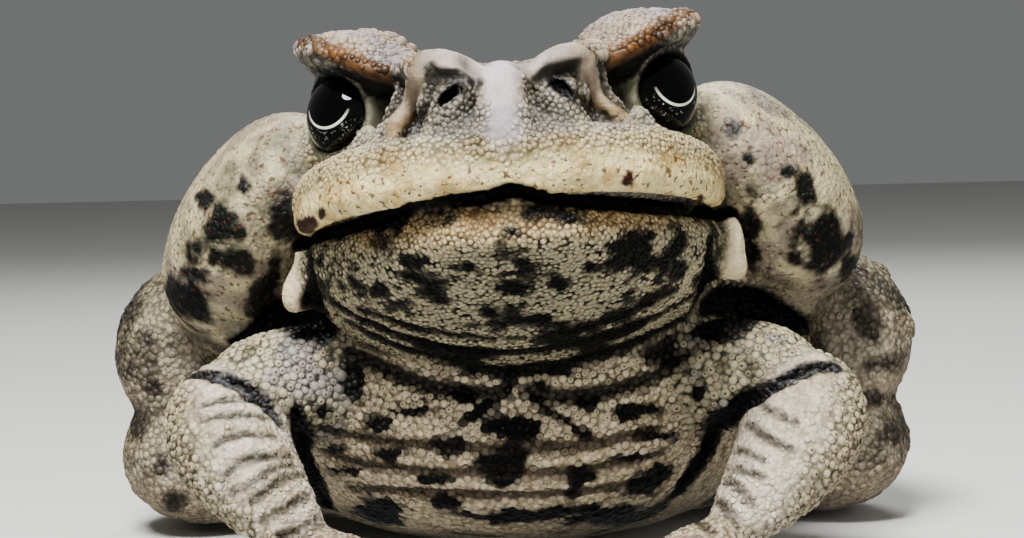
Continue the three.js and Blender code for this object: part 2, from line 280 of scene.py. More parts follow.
# Flesh: every node but the eyes, melted together
flesh = {"voxel": 0.5, "band": 12, "margin": 3.5, "swell": 0.2, "bodyBlur": 1.7, "headBlur": 0.6,
         "faceFrom": (41, 47), "faceAhead": (-16, -4), "coarse": 3,
         "parts": {"trunk": 0, "upper_arm": 2.2, "forearm": 1.1, "hand": 2.0, "thigh": 1.8, "shank": 0.8,
                   "foot": 1.4, "lower_jaw": 1.0, "head": 0.6, "parotoid": 1.6, "gape_wart": 0.6}}


def nodesOf(part):
    return [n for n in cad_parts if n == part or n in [f"{part}_{side}" for side in sides]]


clay = Clay(toToad(np.array(cadLow)) - flesh["margin"], toToad(np.array(cadHigh)) + flesh["margin"],
            flesh["voxel"], flesh["band"])
partDepth = {}  # a coarse block for each part tells the parts apart
fleshNodes = []
for part, soft in flesh["parts"].items():
    step = flesh["coarse"]
    partClay = Clay(clay.low, clay.low + (clay.size - 1) * clay.voxel, clay.voxel * step, clay.band)
    partClay.depth[:] = clay.reach
    for name in nodesOf(part):
        first, cut, block = clay.shapeOf(*readNode(name), step=step)
        block = block - flesh["swell"]
        clay.depth[cut] = melt(clay.depth[cut], block, soft) if soft else np.minimum(clay.depth[cut], block)
        coarse = block[::step, ::step, ::step]
        window = tuple(slice(a, a + n) for a, n in zip(first // step, coarse.shape))
        inside = tuple(slice(0, n) for n in partClay.depth[window].shape)
        partClay.depth[window] = np.minimum(partClay.depth[window], coarse[inside])
        fleshNodes.append(name)
    partDepth[part] = partClay

inFace = ramp(clay.axis(2), *flesh["faceFrom"]) * ramp(-clay.axis(1), *flesh["faceAhead"])
clay.depth = clay.blurred(flesh["headBlur"]) * inFace + clay.blurred(flesh["bodyBlur"]) * (1 - inFace)
print("flesh melted", clay.size)

# Eyelids: a thin shell round each ball with an opening that faces out and forward
lids = {"shell": 6.95, "turnOut": 50, "turnDown": -5, "halfWide": 70, "halfHigh": 56, "socket": 8.6,
        "rim": 0.5, "rimAt": 6.5, "rimSoft": 0.4, "soft": 0.5, "around": 41, "reach": 12, "melt": 1.3,
        "behind": 0.6}


def lookOut(side):  # the way that an eye looks, with its level and upright
    out, down = math.radians(lids["turnOut"]), math.radians(lids["turnDown"])
    ahead = np.array([side * math.sin(out) * math.cos(down), -math.cos(out) * math.cos(down),
                      -math.sin(down)])
    across = unit(np.cross(ahead, [0, 0, 1]))
    return ahead, across, np.cross(across, ahead)


def makeLids(side, centre):
    ahead, across, up = lookOut(side)
    cut = clay.window(centre - lids["reach"], centre + lids["reach"])[1]
    q = clay.places(cut) - centre
    far = np.linalg.norm(q, axis=-1)
    n = q / np.maximum(far, 1e-6)[..., None]
    turn = np.arccos(np.clip(n @ ahead, -1, 1))
    level, upright = n @ across, n @ up
    spread = np.maximum(np.hypot(level, upright), 1e-6)
    wide, high = math.radians(lids["halfWide"]), math.radians(lids["halfHigh"])
    edge = 1 / np.hypot(level / spread / wide, upright / spread / high)
    old = melt(clay.depth[cut], far - lids["shell"], lids["melt"])
    opening = np.maximum(np.maximum((turn - edge) * lids["rimAt"], eyes["radius"] - lids["behind"] - far),
                         far - lids["socket"])
    clay.depth[cut] = -melt(-old, opening, lids["soft"])
    lap = np.linspace(0, 2 * math.pi, lids["around"])
    acrossTurn, upTurn = wide * np.cos(lap), high * np.sin(lap)
    size = np.hypot(acrossTurn, upTurn)
    rim = (np.cos(size)[:, None] * ahead + (np.sin(size) / size)[:, None]
           * (acrossTurn[:, None] * across + upTurn[:, None] * up))
    clay.rod(centre + rim * lids["rimAt"], [lids["rim"]], lids["rimSoft"])


eyePlaces = {name: toToad(middleOf(f"eye_{name}")) for name in sides}

# The brow: a visor with a sharp outer rim, over a hollow that shades the eye, and a dip between the brows
brow = {"rim": [(11.6, -20.8, 65.8), (15.4, -21.2, 67.4), (20.2, -18.8, 69.8), (24.2, -13, 71.9),
                (24.4, -5.6, 71.4), (21, 1, 69.4)], "rimRadii": [0.7, 0.85, 0.8, 0.7, 0.7, 0.7],
        "hollow": [(14.4, -20.8, 64.0), (18.0, -20.6, 65.1), (22.4, -17.6, 66.7), (27.2, -12, 68.0),
                   (27.8, -6, 67.4), (25, 0, 65.8)], "hollowRadii": [0.7, 1.1, 1.6, 1.9, 1.8, 1.0],
        "soft": 0.6}
saddle = {"line": [(0, -27, 76.6), (0, -18, 78.0), (0, -6, 78.6), (0, 14, 79.2)],
          "radii": [9, 10, 10.4, 10.6], "soft": 2.5}
lip = {"wide": 27.4, "reach": 33.8, "height": 45.5, "rise": 6, "over": 2.4, "radius": 3.0, "inset": 0.95,
       "fillOver": 3.4, "fill": 2.5, "fillSoft": 2.2}
lipAngle = np.linspace(0, math.pi, 25)
lipBack = 1 - lip["reach"] * np.sin(lipAngle) ** 0.86
lipOwn = np.stack([-lip["wide"] * np.sign(np.cos(lipAngle)) * np.abs(np.cos(lipAngle)) ** 0.8, lipBack,
                   lip["height"] + lip["over"] + lip["rise"] * np.clip(-lipBack / 35, 0, 1) ** 1.3], -1)
lipLine = turnHead(lipOwn)
clay.rod(turnHead(lipOwn * (lip["inset"], lip["inset"], 1) + (0, 0, lip["fillOver"])), [lip["fill"]] * 2,
         lip["fillSoft"])
snoutFill = {"line": [(6.4, -27.6, 64.2), (9.4, -22, 65.6), (11.4, -14, 66.4)], "radii": [2.6, 3.2, 3.4],
             "soft": 1.6}
keelFill = {"line": [(0, -28.4, 64.0), (0, -24, 64.6), (0, -17, 64.8)], "radii": [2.9, 3.0, 3.0],
            "soft": 1.6}


def headLine(points, side=1):  # a smooth line given in the head's own frame for its left side
    return turnHead(curveThrough(mirrored(points, side)))


for side in sides.values():
    clay.rod(headLine(snoutFill["line"], side), snoutFill["radii"], snoutFill["soft"])
shave = {"height": 73.4, "fall": 0.12, "from": 16, "soft": 1.0, "box": ((-40, -40, 62), (40, 20, 90))}


def shaveBrows():  # takes the puffy tops off the brows, in the head's own frame
    cut = clay.window(*shave["box"])[1]
    own = turnHead(clay.places(cut), 1)
    out = np.maximum(np.abs(own[..., 0]) - shave["from"], 0)
    over = own[..., 2] - shave["height"] + shave["fall"] * out
    clay.depth[cut] = -melt(-clay.depth[cut], -over, shave["soft"])


shaveBrows()
browRims = {name: headLine(brow["rim"], side) for name, side in sides.items()}
browHollows = {name: headLine(brow["hollow"], side) for name, side in sides.items()}
clay.rod(headLine(saddle["line"]), saddle["radii"], saddle["soft"], carve=True)
clay.rod(headLine(keelFill["line"]), keelFill["radii"], keelFill["soft"])
for name, side in sides.items():
    clay.rod(browHollows[name], brow["hollowRadii"], brow["soft"], carve=True)
    clay.rod(browRims[name], brow["rimRadii"], brow["soft"])
    makeLids(side, eyePlaces[name])
print("lids and brows made")

# Ridges, folds and openings, drawn on the skin where the photograph shows them.
# Each stroke has its pixels, the depth of its middle behind the skin and its radii, in mm.
faceMounds = {
    "snoutRight": ([(457, 92), (450, 106), (446, 120)], 2.6, [3.0, 3.4, 2.4]),
    "snoutLeft": ([(551, 86), (560, 99), (566, 114)], 2.6, [3.0, 3.4, 2.4]),
}
faceRidges = {
    "nostrilRimRight": ([(459, 84), (449, 88), (440, 95), (434, 106)], 0.4, [0.6, 0.85, 0.8, 0.5]),
    "nostrilRimLeft": ([(549, 78), (560, 81), (571, 88), (579, 99)], 0.4, [0.6, 0.85, 0.8, 0.5]),
    "nostrilFootRight": ([(463, 93), (456, 101), (447, 109)], 0.5, [0.6, 0.8, 0.6]),
    "nostrilFootLeft": ([(546, 88), (554, 97), (565, 104)], 0.5, [0.6, 0.8, 0.6]),
    "canthusRight": ([(424, 56), (440, 58), (456, 62), (472, 68), (488, 78)], 0.8,
                     [0.8, 1.2, 1.2, 1.0, 0.6]),
    "canthusLeft": ([(526, 72), (545, 60), (560, 54), (575, 52), (590, 56)], 0.8,
                    [0.6, 1.0, 1.2, 1.2, 0.8]),
    "preEyeRight": ([(416, 74), (413, 97), (405, 113), (395, 130), (386, 148)], 0.6,
                    [0.9, 1.3, 1.25, 1.1, 0.6]),
    "preEyeLeft": ([(587, 66), (589, 82), (600, 98), (614, 111), (630, 124)], 0.6,
                   [0.9, 1.3, 1.25, 1.1, 0.6]),
}
faceFolds = {
    "nostrilRight": ([(458, 88), (449, 95), (441, 103)], 0.7, [0.5, 0.8, 0.5]),
    "nostrilLeft": ([(552, 82), (562, 88), (571, 96)], 0.7, [0.5, 0.8, 0.5]),
    "underCanthusRight": ([(429, 66), (434, 75), (447, 77), (463, 77), (480, 84)], 0.3,
                          [0.5, 0.9, 0.95, 0.8, 0.3]),
    "underCanthusLeft": ([(536, 79), (548, 73), (560, 71), (570, 68), (577, 63)], 0.3,
                         [0.3, 0.8, 0.95, 0.9, 0.5]),
    "besideNostrilRight": ([(430, 70), (431, 86), (427, 102), (420, 118), (410, 130)], 0.3,
                           [0.6, 0.85, 0.85, 0.8, 0.4]),
    "besideNostrilLeft": ([(575, 68), (580, 84), (584, 98), (592, 110), (606, 116)], 0.3,
                          [0.6, 0.85, 0.85, 0.8, 0.4]),
    "underBrowRight": ([(404, 84), (398, 98), (388, 112), (376, 124)], 0.2, [0.5, 0.8, 0.7, 0.4]),
    "underBrowLeft": ([(602, 76), (608, 90), (619, 102), (632, 112)], 0.2, [0.5, 0.8, 0.7, 0.4]),
}
mouthRow = [(297, 245), (308, 242), (325, 237), (350, 228), (400, 209), (450, 200), (485, 196), (513, 190),
            (545, 196), (580, 201), (620, 205), (680, 212), (712, 217), (726, 216), (732, 213)]
mouthSlot = {"radii": [0.4, 0.8, 0.8, 0.85, 0.85, 0.85, 0.8, 0.8, 0.4], "depths": (0.5, 1.7, 2.9),
             "soft": 0.3, "paint": 1.15, "clear": 1.7}
bodyFolds = {
    "throatOne": ([(334, 302), (356, 318), (396, 335), (440, 346), (480, 352), (520, 352), (560, 348),
                   (600, 338), (650, 320), (690, 298)], 0.3,
                  [0.3, 0.7, 0.85, 0.8, 0.7, 0.8, 0.7, 0.8, 0.7, 0.3]),
    "throatTwo": ([(348, 322), (378, 339), (420, 353), (455, 363), (495, 370), (540, 368), (590, 357),
                   (640, 340), (688, 316)], 0.3, [0.4, 0.9, 0.8, 0.9, 0.7, 0.9, 0.8, 0.9, 0.4]),
    "throatThree": ([(360, 310), (400, 324), (440, 334), (490, 340)], 0.1, [0.3, 0.6, 0.6, 0.3]),
    "throatFour": ([(540, 338), (590, 328), (640, 308), (676, 290)], 0.1, [0.3, 0.6, 0.6, 0.3]),
    "chestOne": ([(352, 352), (390, 371), (430, 386), (470, 391), (505, 392)], 0.2,
                 [0.4, 0.8, 0.7, 0.7, 0.3]),
    "chestTwo": ([(524, 391), (560, 396), (600, 392), (650, 378), (690, 352)], 0.2,
                 [0.3, 0.7, 0.7, 0.7, 0.4]),
    "bellyOne": ([(318, 428), (370, 440), (420, 446), (480, 448), (540, 447), (600, 443), (660, 428)], 0.1,
                 [0.3, 0.6, 0.6, 0.5, 0.6, 0.6, 0.3]),
    "bellyTwo": ([(322, 452), (360, 464), (410, 470), (470, 473), (530, 474), (600, 468), (664, 452)], 0.1,
                 [0.3, 0.6, 0.4, 0.6, 0.4, 0.6, 0.3]),
    "bellyThree": ([(350, 488), (400, 492), (450, 495), (520, 497), (590, 492), (650, 480)], 0.1,
                   [0.3, 0.6, 0.6, 0.5, 0.6, 0.3]),
    "elbowRight": ([(190, 374), (216, 377), (239, 387), (262, 403), (277, 420)], 0.8,
                   [0.6, 1.1, 1.2, 1.2, 0.8]),
    "elbowLeft": ([(836, 368), (811, 369), (779, 385), (755, 398), (735, 410), (722, 428)], 0.8,
                  [0.6, 1.1, 1.2, 1.2, 1.1, 0.8]),
}
deepGaps = {
    "right": ([(238, 338), (262, 331), (284, 322), (306, 316), (330, 320)], 2.2,
              [0.8, 1.8, 3.0, 2.8, 1.2]),
    "left": ([(698, 312), (722, 306), (750, 310), (776, 318), (800, 326)], 2.2,
             [1.0, 2.4, 2.8, 1.8, 0.8]),
    "armpitRight": ([(292, 410), (302, 440), (314, 474), (326, 506)], 1.2, [0.6, 1.2, 1.4, 1.0]),
    "armpitLeft": ([(720, 412), (710, 438), (694, 466), (678, 490)], 1.2, [0.6, 1.2, 1.4, 1.0]),
    "behindWartRight": ([(312, 262), (316, 284), (318, 304)], 1.6, [0.8, 1.4, 1.6]),
    "behindWartLeft": ([(708, 244), (706, 268), (704, 292)], 1.6, [0.8, 1.4, 1.6]),
}
armCreases = {
    "right1": ([(202, 405), (222, 400), (244, 398), (262, 400)], 0.1, [0.3, 0.5, 0.3]),
    "right2": ([(198, 420), (218, 416), (246, 414), (268, 418)], 0.1, [0.3, 0.45, 0.3]),
    "right3": ([(212, 448), (225, 438), (247, 433), (274, 435)], 0.1, [0.3, 0.55, 0.4]),
    "right4": ([(222, 477), (244, 461), (269, 456), (292, 455)], 0.1, [0.3, 0.6, 0.4]),
    "right5": ([(228, 494), (256, 480), (276, 467), (298, 464)], 0.1, [0.3, 0.45, 0.3]),
    "right6": ([(250, 503), (274, 485), (289, 476), (309, 473)], 0.1, [0.4, 0.65, 0.4]),
    "right7": ([(262, 522), (286, 508), (302, 498), (314, 494)], 0.1, [0.4, 0.6, 0.4]),
    "wristRight": ([(280, 538), (303, 529), (329, 514)], 0.2, [0.7, 0.85, 0.6]),
    "left1": ([(758, 402), (774, 412), (798, 423)], 0.1, [0.3, 0.5, 0.3]),
    "left2": ([(740, 420), (756, 430), (772, 441), (792, 449)], 0.1, [0.3, 0.55, 0.3]),
    "left3": ([(712, 448), (738, 450), (764, 460)], 0.1, [0.3, 0.45, 0.3]),
    "left4": ([(708, 467), (722, 468), (741, 469), (762, 477)], 0.1, [0.4, 0.6, 0.4]),
    "left5": ([(698, 475), (721, 478), (741, 491), (753, 506)], 0.1, [0.4, 0.65, 0.4]),
    "left6": ([(700, 492), (716, 500), (728, 511), (738, 524)], 0.1, [0.4, 0.6, 0.4]),
    "wristLeft": ([(676, 500), (694, 516), (712, 530)], 0.2, [0.5, 0.75, 0.5]),
}
leap = 0.2  # the most that a stroke goes back, in mm for each pixel across


def follow(pixels, depth):  # a stroke's line on the skin, without leaps to what lies behind
    pixels = curveThrough(pixels)
    line = clay.fromPhoto(pixels, depth)
    far = np.linalg.norm(line - view["place"], axis=1)
    across = np.linalg.norm(np.diff(pixels, axis=0), axis=1) * leap
    for k in range(1, len(far)):
        far[k] = min(far[k], far[k - 1] + across[k - 1])
    for k in range(len(far) - 2, -1, -1):
        far[k] = min(far[k], far[k + 1] + across[k])
    return view["place"] + raysThrough(pixels) * far[:, None]


def drawOn(strokes, carve, soft, leaps=False):
    lines = {name: clay.fromPhoto(curveThrough(pixels), depth) if leaps else follow(pixels, depth)
             for name, (pixels, depth, _) in strokes.items()}
    for name, (_, _, radii) in strokes.items():
        clay.rod(lines[name], radii, soft, carve)
    return lines


gapLines = drawOn(deepGaps, True, 0.9, leaps=True)
drawOn(faceMounds, False, 1.6)
drawOn(faceRidges, False, 0.8)
ridgeDepth = 0.3  # mm under the skin, where a ridge is painted
ridgeLines = {name: follow(pixels, ridgeDepth) for name, (pixels, _, _) in faceRidges.items()}
creases = drawOn(faceFolds, True, 0.35)
creases.update(drawOn(bodyFolds, True, 0.7))
armLines = drawOn(armCreases, True, 0.35)
mouthLines = [clay.fromPhoto(curveThrough(mouthRow), depth) for depth in mouthSlot["depths"]]
for line in mouthLines:
    clay.rod(line, mouthSlot["radii"], mouthSlot["soft"], carve=True)
print("folds drawn")

# Warts of the back, the flanks and the legs: low domes, the larger ones far apart
warts = {"seed": 3, "tries": 9000, "small": 0.8, "large": 3.0, "skew": 2.6, "sink": 0.62, "apart": 1.35,
         "soft": 0.7, "most": 330, "behind": 12, "above": 5, "up": -0.15, "legUp": -0.6, "onLeg": 1,
         "clear": {"head": 1.5, "lower_jaw": 1.5, "parotoid": 2, "forearm": 2, "hand": 2, "foot": 2}}


def raiseWarts():
    draw = np.random.default_rng(warts["seed"])
    points = clay.skin()[0]
    points = points[draw.integers(0, len(points), warts["tries"])]
    outward = unit(np.stack([clay.sample(points + e) - clay.sample(points - e) for e in np.eye(3)], -1))
    back = (points[:, 1] > warts["behind"]) & (points[:, 2] > warts["above"])
    for part, clear in warts["clear"].items():
        back &= partDepth[part].sample(points) > clear
    legs = np.minimum(partDepth["thigh"].sample(points), partDepth["shank"].sample(points)) < warts["onLeg"]
    back &= (outward[:, 2] > warts["up"]) | (legs & (outward[:, 2] > warts["legUp"]))
    placed = []
    for p, n, t in zip(points[back], outward[back], draw.random(len(points))[back] ** warts["skew"]):
        radius = warts["small"] + (warts["large"] - warts["small"]) * t
        if len(placed) < warts["most"] and all(np.linalg.norm(p - q) > warts["apart"] * (radius + r)
                                               for q, _, r in placed):
            placed.append((p, n, radius))
    for p, n, radius in placed:
        clay.rod([p - n * radius * warts["sink"]] * 2, [radius, radius], warts["soft"] * min(1, radius / 2))
    return len(placed)


print("warts raised", raiseWarts())

# The ground flattens what rests on it
ground = {"height": 0.05, "soft": 0.25}
clay.depth = -melt(-clay.depth, clay.axis(2) - ground["height"], ground["soft"])
# painted shade and highlight from the skin's relief: how hollows, crests and the broad hollows between
# parts darken or lighten the paint
relief = {"narrow": 1.3, "wide": 4.0, "hollow": -0.35, "crest": 0.35, "dark": 0.42, "light": 1.15,
          "deep": -2.2, "open": 0.2, "shadow": 0.3, "depth": 1.5, "fine": 0.12, "mottle": 0.1}
smooth, broad = clay.blurred(relief["narrow"]), clay.blurred(relief["wide"])


def newObject(name, data):
    made = bpy.data.objects.new(name, data)
    bpy.context.scene.collection.objects.link(made)
    return made


def makeObject(name, points, faces):
    mesh = bpy.data.meshes.new(name)
    mesh.vertices.add(len(points))
    mesh.vertices.foreach_set("co", np.asarray(points, np.float32).ravel())
    mesh.loops.add(faces.size)
    mesh.loops.foreach_set("vertex_index", faces.astype(np.int32).ravel())
    mesh.polygons.add(len(faces))
    mesh.polygons.foreach_set("loop_start", np.arange(len(faces), dtype=np.int32) * faces.shape[1])
    mesh.update(calc_edges=True)
    mesh.validate()
    mesh.shade_smooth()
    return newObject(name, mesh)


def readVectors(collection, field):
    values = np.empty(len(collection) * 3, np.float32)
    collection.foreach_get(field, values)
    return values.reshape(-1, 3)


def setAttribute(mesh, name, values):
    kind, field = ("FLOAT_VECTOR", "vector") if values.ndim == 2 else ("FLOAT", "value")
    layer = mesh.attributes.new(name, kind, "POINT")
    layer.data.foreach_set(field, np.asarray(values, np.float32).ravel())


def bake(worked):  # the plain mesh of an object with its modifiers
    bpy.context.view_layer.update()
    return bpy.data.meshes.new_from_object(worked.evaluated_get(bpy.context.evaluated_depsgraph_get()))


def remove(worked):
    mesh = worked.data
    bpy.data.objects.remove(worked)
    bpy.data.meshes.remove(mesh)


shareSoft = 0.6  # mm over which one part gives way to the next


def partShares(points):  # how much each point belongs to each part
    depths = {part: block.sample(points) for part, block in partDepth.items()}
    lowest = np.min(list(depths.values()), axis=0)
    shares = {part: np.exp(-(d - lowest) / shareSoft) for part, d in depths.items()}
    total = sum(shares.values())
    return {part: share / total for part, share in shares.items()}


# Wrinkles: thin valleys where a stretched noise is near nothing. The grain is in mm, along a forearm
# and across it, or along the axes.
wrinkles = {
    "arm": {"grain": (1.5, 6, 6), "depth": 0.34, "thin": 0.3, "seed": 21},
    "armCells": {"grain": (3.2, 1.8, 1.8), "depth": 0.2, "thin": 0.22, "seed": 23},
    "belly": {"grain": (9, 5, 2.0), "depth": 0.32, "thin": 0.26, "seed": 31},
    "throat": {"grain": (7, 3, 1.5), "depth": 0.24, "thin": 0.26, "seed": 41},
    "lip": {"grain": (1.6, 1.8, 2.6), "depth": 0.26, "thin": 0.3, "seed": 51},
    "skin": {"grain": (2.4, 2.4, 2.4), "depth": 0.22, "thin": 0.2, "seed": 61},
}


def valleys(points, name):
    kind = wrinkles[name]
    noise = np.abs(drift(points, kind["grain"], kind["seed"], 2))
    return ramp(kind["thin"] - noise, 0, kind["thin"]) * kind["depth"]


def alongArm(points, name):  # points with the forearm's own length as their first coordinate
    start, end = toToad(middleOf(f"upper_arm_{name}")), toToad(middleOf(f"hand_{name}"))
    along = unit(end - start)
    across = unit(np.cross(along, [0, 0, 1]))
    return (points - start) @ np.stack([along, across, np.cross(along, across)], -1)


def wrinkled(points, outward):
    share = partShares(points)
    rest = share["trunk"] + share["parotoid"] + share["thigh"] + share["shank"]
    depth = valleys(points, "skin") * rest * 0.7
    for name, side in sides.items():
        here = share["forearm"] + share["hand"] * 0.8 + share["upper_arm"] * 0.5
        here = here * (points[:, 0] * side > 0)
        own = alongArm(points, name)
        depth += here * np.maximum(valleys(own, "arm"), valleys(own, "armCells"))
    depth += valleys(points, "belly") * share["trunk"] * ramp(-points[:, 1], -16, -6)
    depth += valleys(points, "throat") * share["lower_jaw"]
    own = turnHead(points, 1)
    depth += valleys(own, "lip") * share["head"] * ramp(-own[:, 2], -55, -53)
    return points - outward * depth[:, None]


# Skin
skin = {"triangles": 192000, "spare": 0.85, "faceSpare": 0.05}
points, quads = clay.skin()
rough = makeObject("roughSkin", points, quads)
outward = readVectors(rough.data.vertex_normals, "vector")
rough.data.vertices.foreach_set("co", wrinkled(points, outward).astype(np.float32).ravel())
inView = ramp(-outward[:, 1], -0.25, 0.1) * ramp(-points[:, 1], -45, -20)
faceWeight = ramp(points[:, 2], 40, 50) * ramp(-points[:, 1], -14, -2)
spare = np.clip(1 - 0.45 * inView - 0.5 * faceWeight, skin["faceSpare"], 1)
group = rough.vertex_groups.new(name="spare")
levels = np.round(spare * 10).astype(int)
for level in np.unique(levels):
    group.add(np.flatnonzero(levels == level).tolist(), level / 10, "REPLACE")
thin = rough.modifiers.new("thin", "DECIMATE")
thin.ratio = skin["triangles"] / (2 * len(quads))
thin.vertex_group = "spare"
skinMesh = bake(rough)
remove(rough)
print("skin", len(skinMesh.vertices), "points", len(skinMesh.polygons), "faces")

# Paint. Each point of the skin has a tone for what stands up and a ground for the gaps between granules;
# the ground is mostly darker, painted shade in the gaps.
points = readVectors(skinMesh.vertices, "co").astype(float)
outward = readVectors(skinMesh.vertex_normals, "vector").astype(float)
inHead = turnHead(points, 1)
share = partShares(points)
pixelX, pixelY, farOff = toPhoto(points)
bulge = clay.sample(points, smooth) - clay.sample(points)
broadBulge = clay.sample(points, broad) - clay.sample(points)
headSide, headAhead, headUp = np.abs(inHead[:, 0]), -inHead[:, 1], inHead[:, 2]
mottle = drift(points, 5.0, 71, 3)
fine = drift(points, 1.4, 77, 2)


def linear(code):  # a #rrggbb colour as light
    values = np.array([int(code[k:k + 2], 16) for k in (1, 3, 5)]) / 255
    return np.where(values <= 0.04045, values / 12.92, ((values + 0.055) / 1.055) ** 2.4)


class Paint:
    def __init__(self, count, shade):
        self.tone, self.ground, self.shade = np.zeros((count, 3)), np.zeros((count, 3)), shade

    def lay(self, amount, tone, ground=None):
        amount = np.clip(amount, 0, 1)[:, None]
        # without a ground colour, the gaps get the tone darkened by the painted shade factor
        under = linear(ground) if ground else linear(tone) * self.shade
        self.tone += (linear(tone) - self.tone) * amount
        self.ground += (under - self.ground) * amount


def within(line, radii, soft, reach=5.0):  # 1 inside a rod and 0 outside it, for the skin's points
    amount = np.zeros(len(points))
    near = np.all((points > line.min(0) - reach) & (points < line.max(0) + reach), axis=1)
    if near.any():
        amount[near] = ramp(-distanceTo(points[near], line, lineRadii(line, radii)), -soft, soft)
    return amount


paint = Paint(len(points), 0.5)
lay = paint.lay
eyeFar = np.minimum(*[np.linalg.norm(points - eyePlaces[name], axis=1) for name in sides])
facing = {name: unit(points - eyePlaces[name]) @ lookOut(side)[2] for name, side in sides.items()}
above = np.where(points[:, 0] < 0, facing["right"], facing["left"])
outerSide = np.abs(outward[:, 0]) * (outward[:, 0] * points[:, 0] > 0)
zone = {
    "lip": share["head"] * within(lipLine, [lip["radius"]], 0.7),
    "headTop": share["head"] * ramp(outward[:, 2], 0.3, 0.7) * ramp(headUp, 60, 63),
    "browTop": share["head"] * ramp(headUp, 66.6, 68.4) * ramp(headSide, 10, 13)
    * ramp(outward[:, 2], -0.15, 0.15),
    "rim": np.maximum(*[within(browRims[name], [1.15], 0.3) for name in sides]),
    # painted shadow under the brows' visors
    "underBrow": np.maximum(
        np.maximum(*[within(browHollows[name], [1.5], 0.6) for name in sides]),
        share["head"] * ramp(-outward[:, 2], 0.05, 0.35) * ramp(headUp, 62.5, 64.5)
        * ramp(headSide, 11, 13) * (1 - 0.7 * ramp(headSide, 20, 24))),
    "ridge": np.max([within(line, [1.3, 1.7, 1.3], 0.5) for name, line in ridgeLines.items()
                     if not name.startswith("nostril")], axis=0) * ramp(headUp, 57.5, 61),
    "membrane": ramp(-eyeFar, -11.5, -9) * ramp(-headSide, -19, -17) * ramp(-headUp, -66, -64),
    "lowerLid": ramp(-eyeFar, -9.0, -8.2) * ramp(-above, 0.0, 0.3),
    # painted shade where the lids meet the balls
    "lidEdge": ramp(-eyeFar, -7.1, -6.7),
    "keel": share["head"] * ramp(-headSide, -3.0, -0.9) * ramp(headAhead, 14, 20)
    * ramp(headUp, 54.5, 60),
    "saddle": share["head"] * ramp(-headSide, -11, -7) * ramp(headAhead, 2, 14)
    * ramp(headUp, 64, 66),
    "cheek": share["head"] * ramp(-headUp, -59, -56.5) * ramp(headUp, 50, 52),
    "chin": share["lower_jaw"] * ramp(headUp, 43.5, 48) * ramp(-points[:, 1], 10, 24),
    "belly": share["trunk"] * ramp(-outward[:, 2], 0.1, 0.6),
    "chest": share["trunk"] * ramp(-points[:, 1], -22, -10),
    "gape": share["gape_wart"],
    "arm": share["upper_arm"], "forearm": share["forearm"], "hand": share["hand"] + share["foot"],
    "gland": share["parotoid"], "throat": share["lower_jaw"], "leg": share["thigh"] + share["shank"],
}
zone["rear"] = ramp(points[:, 1], 24, 42) * ramp(outward[:, 2], -0.4, 0.1)
zone["armOuter"] = zone["forearm"] * ramp(outerSide, 0.2, 0.75)

# Dark patches where the photograph shows them: place, half sizes and lean in degrees. Most are dark
# markings; some of the chest's are painted shadow, under the glands, between arm and chest, near the right
# forearm and along the bottom edge.
darkPatches = {
    "chest": [(510, 378, 9, 24, 0), (485, 408, 22, 7, -30), (541, 385, 14, 4, 20), (540, 405, 16, 6, 45),
              (575, 428, 26, 6, 32), (512, 427, 28, 15, 0), (447, 447, 20, 12, 0), (461, 395, 15, 8, 0),
              (503, 465, 24, 19, 0), (585, 476, 20, 12, 0), (434, 479, 20, 7, 0), (445, 500, 16, 12, 0),
              (590, 402, 15, 9, 0), (630, 415, 15, 6, 0), (630, 457, 20, 4, 0), (518, 516, 50, 8, 0),
              (575, 493, 10, 7, 0), (602, 514, 50, 12, 0), (373, 423, 17, 9, 0), (386, 452, 20, 9, 0),
              (335, 449, 12, 5, 0), (344, 470, 20, 5, 0), (379, 512, 25, 18, 0), (411, 411, 22, 6, 0),
              (353, 379, 11, 25, -14), (660, 350, 20, 18, 0), (640, 410, 22, 6, 0), (655, 435, 20, 8, 0),
              (700, 395, 10, 14, 20), (650, 482, 32, 13, -20), (560, 370, 12, 5, 0), (470, 372, 14, 5, 0),
              (323, 412, 9, 6, 0), (722, 330, 40, 12, -8), (300, 330, 34, 10, 20)],
    "throat": [(413, 260, 14, 7, 0), (468, 266, 6, 5, 0), (487, 310, 12, 8, 0), (560, 285, 10, 8, 0),
               (618, 245, 14, 6, 0), (590, 268, 8, 6, 0), (380, 290, 10, 7, 0), (650, 300, 14, 8, -30),
               (540, 318, 14, 5, 0), (440, 300, 9, 5, 0), (520, 262, 9, 6, 0), (680, 270, 8, 10, 0)],
    "glands": [(222, 222, 13, 20, 15), (196, 250, 12, 12, 0), (186, 300, 30, 26, 30), (238, 262, 16, 15, 0),
               (243, 185, 7, 11, 0), (281, 215, 17, 24, 0), (272, 280, 10, 34, 10), (205, 200, 8, 10, 0),
               (822, 240, 32, 34, -20), (806, 190, 9, 22, -20),
               (785, 172, 8, 8, 0), (748, 160, 8, 9, 0), (749, 232, 11, 44, 0), (262, 300, 16, 22, 0),
               (735, 132, 10, 8, 0), (850, 268, 12, 18, 0), (215, 255, 8, 9, 0), (238, 232, 7, 8, 0)],
    "lip": [(628, 178, 7, 8, 0), (306, 226, 9, 8, 0), (322, 212, 4, 5, 0), (700, 200, 5, 5, 0)],
    "legs": [(152, 385, 12, 9, 0), (138, 430, 9, 10, 0), (160, 465, 12, 12, 0), (880, 365, 20, 9, 0),
             (868, 400, 14, 9, 0), (893, 430, 14, 17, 0), (842, 465, 28, 9, 0), (176, 500, 12, 10, 0),
             (868, 320, 14, 20, 0), (146, 340, 10, 12, 0)],
}
patchLook = {"lip": "#6a3319", "chest": "#14100b", "throat": "#17160f", "glands": "#2a2d22",
             "legs": "#5f564a"}
patchEdge = {"size": 2.4, "wobble": 0.6, "behind": 5.0, "bend": 7}


